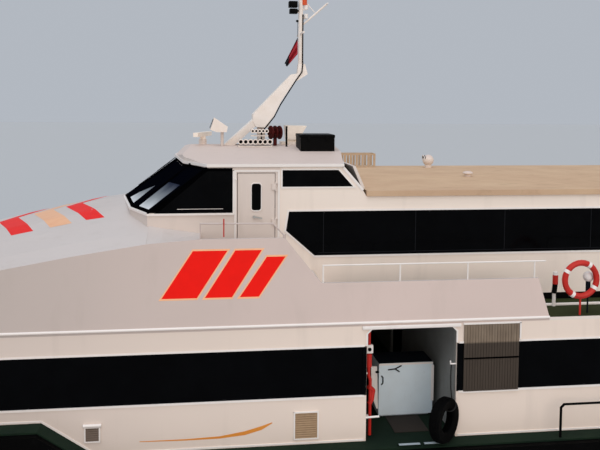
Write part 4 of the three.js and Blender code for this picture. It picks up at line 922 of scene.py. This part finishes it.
# %% [markdown]
# Side vents: small steel boxes with slanting blades, a white hood over the forward one.
# %% Side vents
VENTS = [
    # name, fore and after edge, foot, head, half-round hood over it, paint of the blades
    ("fore", -6.93, -6.68, 2.05, 2.31, True, VENT_BROWN),
    ("aft", -3.26, -2.83, 1.91, 2.40, False, VENT_TAN),
]
for label, side in SIDES:
    bm = bmesh.new()
    for name, x0, x1, z0, z1, hood, paint in VENTS:
        blades = bmesh.new()
        y = side * (HOUSE + 0.008)
        add_frame(bm, [(x0, y, z0), (x1, y, z0), (x1, y, z1), (x0, y, z1)], 0.025, 0.03, (0, side, 0))
        if hood:
            hood_y = y + side * 0.01
            add_bar(bm, (x0 - 0.03, hood_y, z1 + 0.03), (x1 + 0.03, hood_y, z1 + 0.03), 0.03, 12)
        add_box(blades, (x0, side * HOUSE, z0), (x1, side * (HOUSE + 0.008), z1))
        count = round((z1 - z0) / 0.04)
        for k in range(count):
            z = z0 + (k + 0.5) * (z1 - z0) / count
            blade_y = y + side * 0.004
            add_strip(blades, (x0, blade_y, z), (x1, blade_y, z), 0.026, 0.004, (0, side * 0.8, 0.6))
        place(f"side_vent_blades_{name}_{label}", blades, paint, "roof_tan")
    place("side_vent_frames_" + label, bm, TRIM_WHITE, "hull_white")

# %% Frame over the louvre
bm = bmesh.new()
y = -(HOUSE + 0.012)
add_strip(bm, (-0.13, y, 3.93), (0.99, y, 3.93), 0.03, 0.05, (0, -1, 0))
add_strip(bm, (0.975, y, 3.93), (0.975, y, 3.62), 0.03, 0.05, (0, -1, 0))
add_strip(bm, (-0.13, y, 2.64), (0.97, y, 2.64), 0.02, 0.04, (0, -1, 0))
place("louvre_frame", bm, TRIM_WHITE, "hull_white")
bm = bmesh.new()
# painted shade: a black strip along the gap between the louvre's two panels
add_strip(bm, (-0.11, y - 0.022, 3.277), (0.95, y - 0.022, 3.277), 0.03, 0.006, (0, -1, 0))
place("louvre_gap_painted_shade", bm, PRINT_BLACK, "black_paint")
print("vents and louvre frame")

# %% [markdown]
# The entrance: a white moulding frames it, under a rain ledge. A fire line stands inside the
# fore edge, red with a white gauge box; a grab bar crosses beneath it. The locker has a white side
# panel, painted highlights on its top and aft edges, and hooks. A brown coir mat lies inside,
# and a rope holds the tyre to a white hook.
# %% Fire line and grab bar
LINE_X, LINE_Y = -1.855, -4.06
LINE = [(0, 3.8), (0, 2.95), (0.03, 2.88), (0.03, 1.83)]  # aft of LINE_X, height
BRANCH = [(0, 0, 2.75), (0.09, 0.02, 2.66), (0.06, 0, 2.5), (0.02, 0, 2.42)]
bm = bmesh.new()
add_run(bm, [(LINE_X + dx, LINE_Y, z) for dx, z in LINE], 0.03, 12)
add_bar(bm, (LINE_X, LINE_Y, 3.12), (LINE_X, LINE_Y, 3.36), 0.055, 14)
add_run(bm, [(LINE_X + dx, LINE_Y + dy, z) for dx, dy, z in BRANCH], 0.045, 10)
place("fire_line", bm, RED_PAINT, "red_plastic")
bm = bmesh.new()
add_box(bm, (LINE_X - 0.06, LINE_Y - 0.05, 3.38), (LINE_X + 0.07, LINE_Y + 0.03, 3.54), 0.012)
for z in (2.2, 3.0, 3.7):
    add_box(bm, (-1.94, LINE_Y - 0.015, z - 0.015), (LINE_X, LINE_Y + 0.015, z + 0.015))
add_bar(bm, (-1.95, -4.235, 2.235), (-1.69, -4.235, 2.245), 0.02, 10)
place("gauge_box_and_grab_bar", bm, TRIM_WHITE, "hull_white")
bm = bmesh.new()
add_bar(bm, (LINE_X, LINE_Y - 0.049, 3.46), (LINE_X, LINE_Y - 0.056, 3.46), 0.035, 16)
place("gauge_dial", bm, BLACK_PAINT, "black_paint")

# %% Moulding round the entrance
ENTRANCE = [(-1.94, 3.6), (-1.94, 3.80), (-1.85, 3.89), (-0.33, 3.89), (-0.24, 3.80), (-0.24, 3.6)]
LEDGE = (-2.03, -0.18, 3.915)  # fore end, after end and height of the rain ledge
for label, side in SIDES:
    bm = bmesh.new()
    add_frame(bm, on_side(ENTRANCE, side * (HOUSE + 0.002)), 0.03, 0.024, (0, side, 0), closed=False)
    x0, x1, z = LEDGE
    add_box(bm, (x0, side * HOUSE, z - 0.029), (x1, side * (HOUSE + 0.05), z + 0.029), 0.008)
    place("entrance_moulding_" + label, bm, TRIM_WHITE, "hull_white")

# %% Locker trim
bm = bmesh.new()
FRONT = -3.252
# painted highlights: the upright strip on the locker's aft edge and the strip along its top; the plate
# is a white side panel
add_strip(bm, (-0.375, FRONT - 0.004, 2.82), (-0.375, FRONT - 0.004, 2.1), 0.05, 0.016, (0, -1, 0))
add_strip(bm, (-1.46, FRONT - 0.002, 2.86), (-0.37, FRONT - 0.002, 2.86), 0.035, 0.012, (0, -1, 0))
panel = [(-1.62, 2.83), (-1.5, 2.83), (-1.47, 1.98), (-1.5, 1.98), (-1.6, 2.25)]
add_plate(bm, on_side(panel, FRONT), (0, 0.03, 0))
place("locker_panel_and_painted_highlights", bm, TRIM_WHITE, "hull_white")
bm = bmesh.new()
handle = [(-1.41, 2.64), (-1.38, 2.6), (-1.38, 2.5), (-1.41, 2.46)]
add_run(bm, on_side(handle, FRONT - 0.012), 0.012, 8)
add_box(bm, (-1.53, FRONT - 0.015, 2.7), (-1.46, FRONT, 2.74), 0.003)
# a forked hook lies flat against the front
FORK = (-1.14, 2.768)
for bar in [(-1.28, 2.755), FORK], [FORK, (-1.01, 2.83)], [FORK, (-1.05, 2.71)]:
    add_bar(bm, *on_side(bar, FRONT - 0.012), 0.012, 8)
place("locker_handle", bm, BLACK_PAINT, "black_paint")

# %% Locker lid, mat and sill caps
low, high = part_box("entrance_locker")
bm = bmesh.new()
add_box(bm, (low[0], FRONT + 0.006, high[2]), (high[0], high[1], high[2] + 0.006))
place("locker_lid", bm, NAVY_PAINT, "black_paint")
bm = bmesh.new()
for x0, x1 in ((-1.4, -1.01), (-0.93, -0.56)):
    add_box(bm, (x0, -4.6, 1.846), (x1, -4.53, 1.85), 0.001)
place("sill_caps", bm, CAP_GREY, "stainless")
bm = bmesh.new()
add_box(bm, (-1.32, -3.98, DECK), (-0.66, -3.22, DECK + 0.014), 0.004)
place("coir_mat", bm, COIR, "roof_tan")

# %% Hook and the tyre's rope
bm = bmesh.new()
add_run(bm, [(-0.24, -4.22, 3.17), (-0.345, -4.22, 3.17), (-0.35, -4.22, 3.23)], 0.014, 8)
place("tyre_hook", bm, TRIM_WHITE, "hull_white")
bm = bmesh.new()
TIE = (-0.348, -4.345, 2.54)
add_run(bm, [(-0.33, -4.22, 3.16), (-0.35, -4.25, 2.95), (-0.36, -4.3, 2.72), TIE], 0.012, 8)
add_ring(bm, (-0.405, -4.4, 2.46), (0.55, 0.5, -0.65), 0.115, 0.012, 28, 8)
place("tyre_rope", bm, TAR_ROPE, "black_rubber")
print("entrance dressed")

# %% [markdown]
# Upper side deck aft of the bulwark: a kerb, a black strip at the wall's foot that is partly a
# dark skirting and partly painted shade, a drain, the lamp post with a red and white lamp, and the
# lifebuoy's own light. The buoy has four white bands. A red marker rod stands beside each
# wheelhouse door well.
# %% Upper side deck
BEACON_X, BEACON_Y = 2.42, 4.03
SIDE_DECK = [
    # piece, paint, slot, boxes and bars; y is measured outwards and z from the deck
    ("deck_kerb", TRIM_WHITE, "hull_white", [((1.75, 3.44, 0), (11.2, 3.49, 0.045), 0.006)], []),
    # a black strip at the wall's foot: partly a dark skirting, partly painted shade on the deck beside
    # it
    ("deck_skirting_and_shade", BLACK_PAINT, "black_paint",
     [((1.6, CABIN + 0.004, 0), (8.2, CABIN + 0.02, 0.13), 0)],
     [((1.53, 4.14, 0), (1.53, 4.14, 0.004), 0.035, 16)]),
    ("deck_lamp_post", TRIM_WHITE, "hull_white", [],
     [((2.0, 3.5, 0), (2.0, 3.5, 0.26), 0.035, 12), ((2.02, 3.5, 0.62), (2.02, 3.5, 0.68), 0.05, 14)]),
    ("deck_lamp_base", BLACK_PAINT, "black_paint", [],
     [((2.0, 3.5, 0.26), (2.02, 3.5, 0.44), 0.05, 12)]),
    ("deck_lamp", RED_PAINT, "red_plastic", [],
     [((2.02, 3.5, 0.44), (2.02, 3.5, 0.62), 0.055, 14)]),
    ("marker_rod", RED_PAINT, "red_plastic", [],
     [((-4.516, 3.84, 1.54), (-4.516, 3.84, 1.87), 0.012, 10)]),
    ("lifebuoy_light_body", NAVY_PAINT, "black_paint", [],
     [((BEACON_X, BEACON_Y, 0), (BEACON_X, BEACON_Y, 0.3), 0.016, 10),
      ((BEACON_X, BEACON_Y, 0.3), (BEACON_X, BEACON_Y, 0.62), 0.045, 14)]),
]


def on_deck(spot, side):
    x, y, z = spot
    return x, side * y, UPPER + z


for label, side in SIDES:
    for name, material, slot, boxes, bars in SIDE_DECK:
        bm = bmesh.new()
        for low, high, bevel in boxes:
            add_box(bm, on_deck(low, side), on_deck(high, side), bevel)
        for start, end, radius, sides in bars:
            add_bar(bm, on_deck(start, side), on_deck(end, side), radius, sides)
        place(f"{name}_{label}", bm, material, slot)

# %% Lifebuoy bands and light
BUOY_X, BUOY_Z, BUOY_Y, BUOY_RADIUS = 2.19, 4.68, 4.175, 0.318
for label, side in SIDES:
    bm = bmesh.new()
    for angle in (60, 150, 240, 330):
        turn = math.radians(angle)
        spoke = Vector((math.cos(turn), 0, math.sin(turn)))
        centre = Vector((BUOY_X, side * BUOY_Y, BUOY_Z)) + spoke * BUOY_RADIUS
        along = Vector((-spoke.z, 0, spoke.x)) * 0.032
        add_bar(bm, centre - along, centre + along, 0.061, 14)
    place("lifebuoy_bands_" + label, bm, TRIM_WHITE, "red_plastic")
    bm = bmesh.new()
    add_ball(bm, (BEACON_X, side * BEACON_Y, 4.7), 0.1, 18)
    place("lifebuoy_light_" + label, bm, TRIM_WHITE, "hull_white")
print("side decks dressed")

# %% [markdown]
# Paint marks, cut from vinyl film: three plain red stripes with a pale orange edge on the
# bulwark, and a plain orange stroke low on the wall. The rest of the plates stays bare.
# %% Painted stripes
RED_STRIPES = [
    # fore and after end of the foot, lean aft, foot, head
    (-5.62, -5.0, 0.55, 4.5, 5.3), (-4.86, -4.38, 0.55, 4.5, 5.3), (-4.24, -3.9, 0.5, 4.5, 5.18),
]


def on_bulwark(x, z, side, proud):
    return Vector((x, side * (lean_at(z) + proud), z))


LAYERS = [("edge", 0.03, 0.001, PALE_ORANGE), ("fill", 0.0, 0.002, STRIPE_RED)]
for label, side in SIDES:
    for name, grow, proud, material in LAYERS:
        bm = bmesh.new()
        for fore, aft, lean, low, high in RED_STRIPES:
            slant = lean * grow / (high - low)
            foot, head = low - grow, high + grow
            corners = [
                (fore - grow - slant, foot), (aft + grow - slant, foot),
                (aft + lean + grow + slant, head), (fore + lean - grow + slant, head),
            ]
            add_plate(bm, [on_bulwark(x, z, side, 0.0005) for x, z in corners], (0, side * proud, 0))
        place(f"red_stripes_{name}_{label}", bm, material, "red_plastic")

# %% Orange swoosh along the side
SWOOSH = [
    # x, height of the lower edge, thickness
    (-6.0, 2.0, 0.012), (-5.2, 1.985, 0.025), (-4.6, 1.99, 0.04), (-4.15, 2.03, 0.07),
    (-3.85, 2.11, 0.07), (-3.66, 2.22, 0.02),
]
for label, side in SIDES:
    bm = bmesh.new()
    lower = [(x, side * (HOUSE + 0.0005), z) for x, z, _ in SWOOSH]
    upper = [(x, side * (HOUSE + 0.0005), z + thick) for x, z, thick in reversed(SWOOSH)]
    add_plate(bm, lower + upper, (0, side * 0.0015, 0))
    place("orange_stripe_" + label, bm, SWOOSH_ORANGE, "red_plastic")

# %% [markdown]
# Chevrons on the foredeck. The plate is curved, so each corner of a mark is dropped onto the
# nose's own surface and the mark is cut into short pieces that follow it.
# %% Foredeck chevrons
CHEVRONS = [
    # x of the apex, width along the boat, paint
    (-9.35, 0.42, STRIPE_RED), (-8.6, 0.42, PALE_ORANGE), (-7.9, 0.36, STRIPE_RED),
]
ARM_REACH, ARM_BACK, ARM_STEPS, ACROSS_STEPS = 1.9, 0.7, 16, 4
SKY = 9.0  # a height over the nose
nose = BVHTree.FromObject(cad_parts["nose_shell"], bpy.context.evaluated_depsgraph_get())


def on_nose(x, y):
    """The point of the nose straight below a high point, 2 mm proud."""
    spot, normal = nose.ray_cast(Vector((x, y, SKY)), Vector((0, 0, -1)))[:2]
    return spot + normal * 0.002


for index, (apex, width, material) in enumerate(CHEVRONS):
    bm = bmesh.new()
    for side in (PORT, STARBOARD):
        rows = []
        for step in range(ARM_STEPS + 1):
            y = side * ARM_REACH * step / ARM_STEPS
            fore = apex + ARM_BACK * step / ARM_STEPS
            spots = [on_nose(fore + width * k / ACROSS_STEPS, y) for k in range(ACROSS_STEPS + 1)]
            rows.append([bm.verts.new(spot) for spot in spots])
        for near, far in zip(rows, rows[1:]):
            for k in range(ACROSS_STEPS):
                bm.faces.new((near[k], near[k + 1], far[k + 1], far[k]))
    bmesh.ops.remove_doubles(bm, verts=bm.verts, dist=0.0005)
    bmesh.ops.recalc_face_normals(bm, faces=bm.faces)
    bmesh.ops.solidify(bm, geom=bm.faces, thickness=0.001)
    place(f"foredeck_chevron_{index}", bm, material, "red_plastic")

# %% [markdown]
# What the quay can't see: the after bulkheads have plain windows beside their doors.
# %% After bulkheads
bm = bmesh.new()
frames = bmesh.new()
AFTER_WINDOWS = [
    # x of the bulkhead, outer and inner edge, sill, head
    (9.6, 3.9, 0.75, 2.75, 3.55), (8.2, 2.6, 0.7, 5.0, 5.85),
]
for x, half, inner, low, high in AFTER_WINDOWS:
    for side in (PORT, STARBOARD):
        corners = ((inner, low), (half, low), (half, high), (inner, high))
        window = [(x, side * y, z) for y, z in corners]
        add_plate(bm, window, (0.006, 0, 0))
        add_frame(frames, [(px + 0.004, y, z) for px, y, z in window], 0.035, 0.02, (1, 0, 0))
place("after_windows", bm, DARK_GLASS, "dark_glass")
place("after_window_frames", frames, TRIM_WHITE, "hull_white")
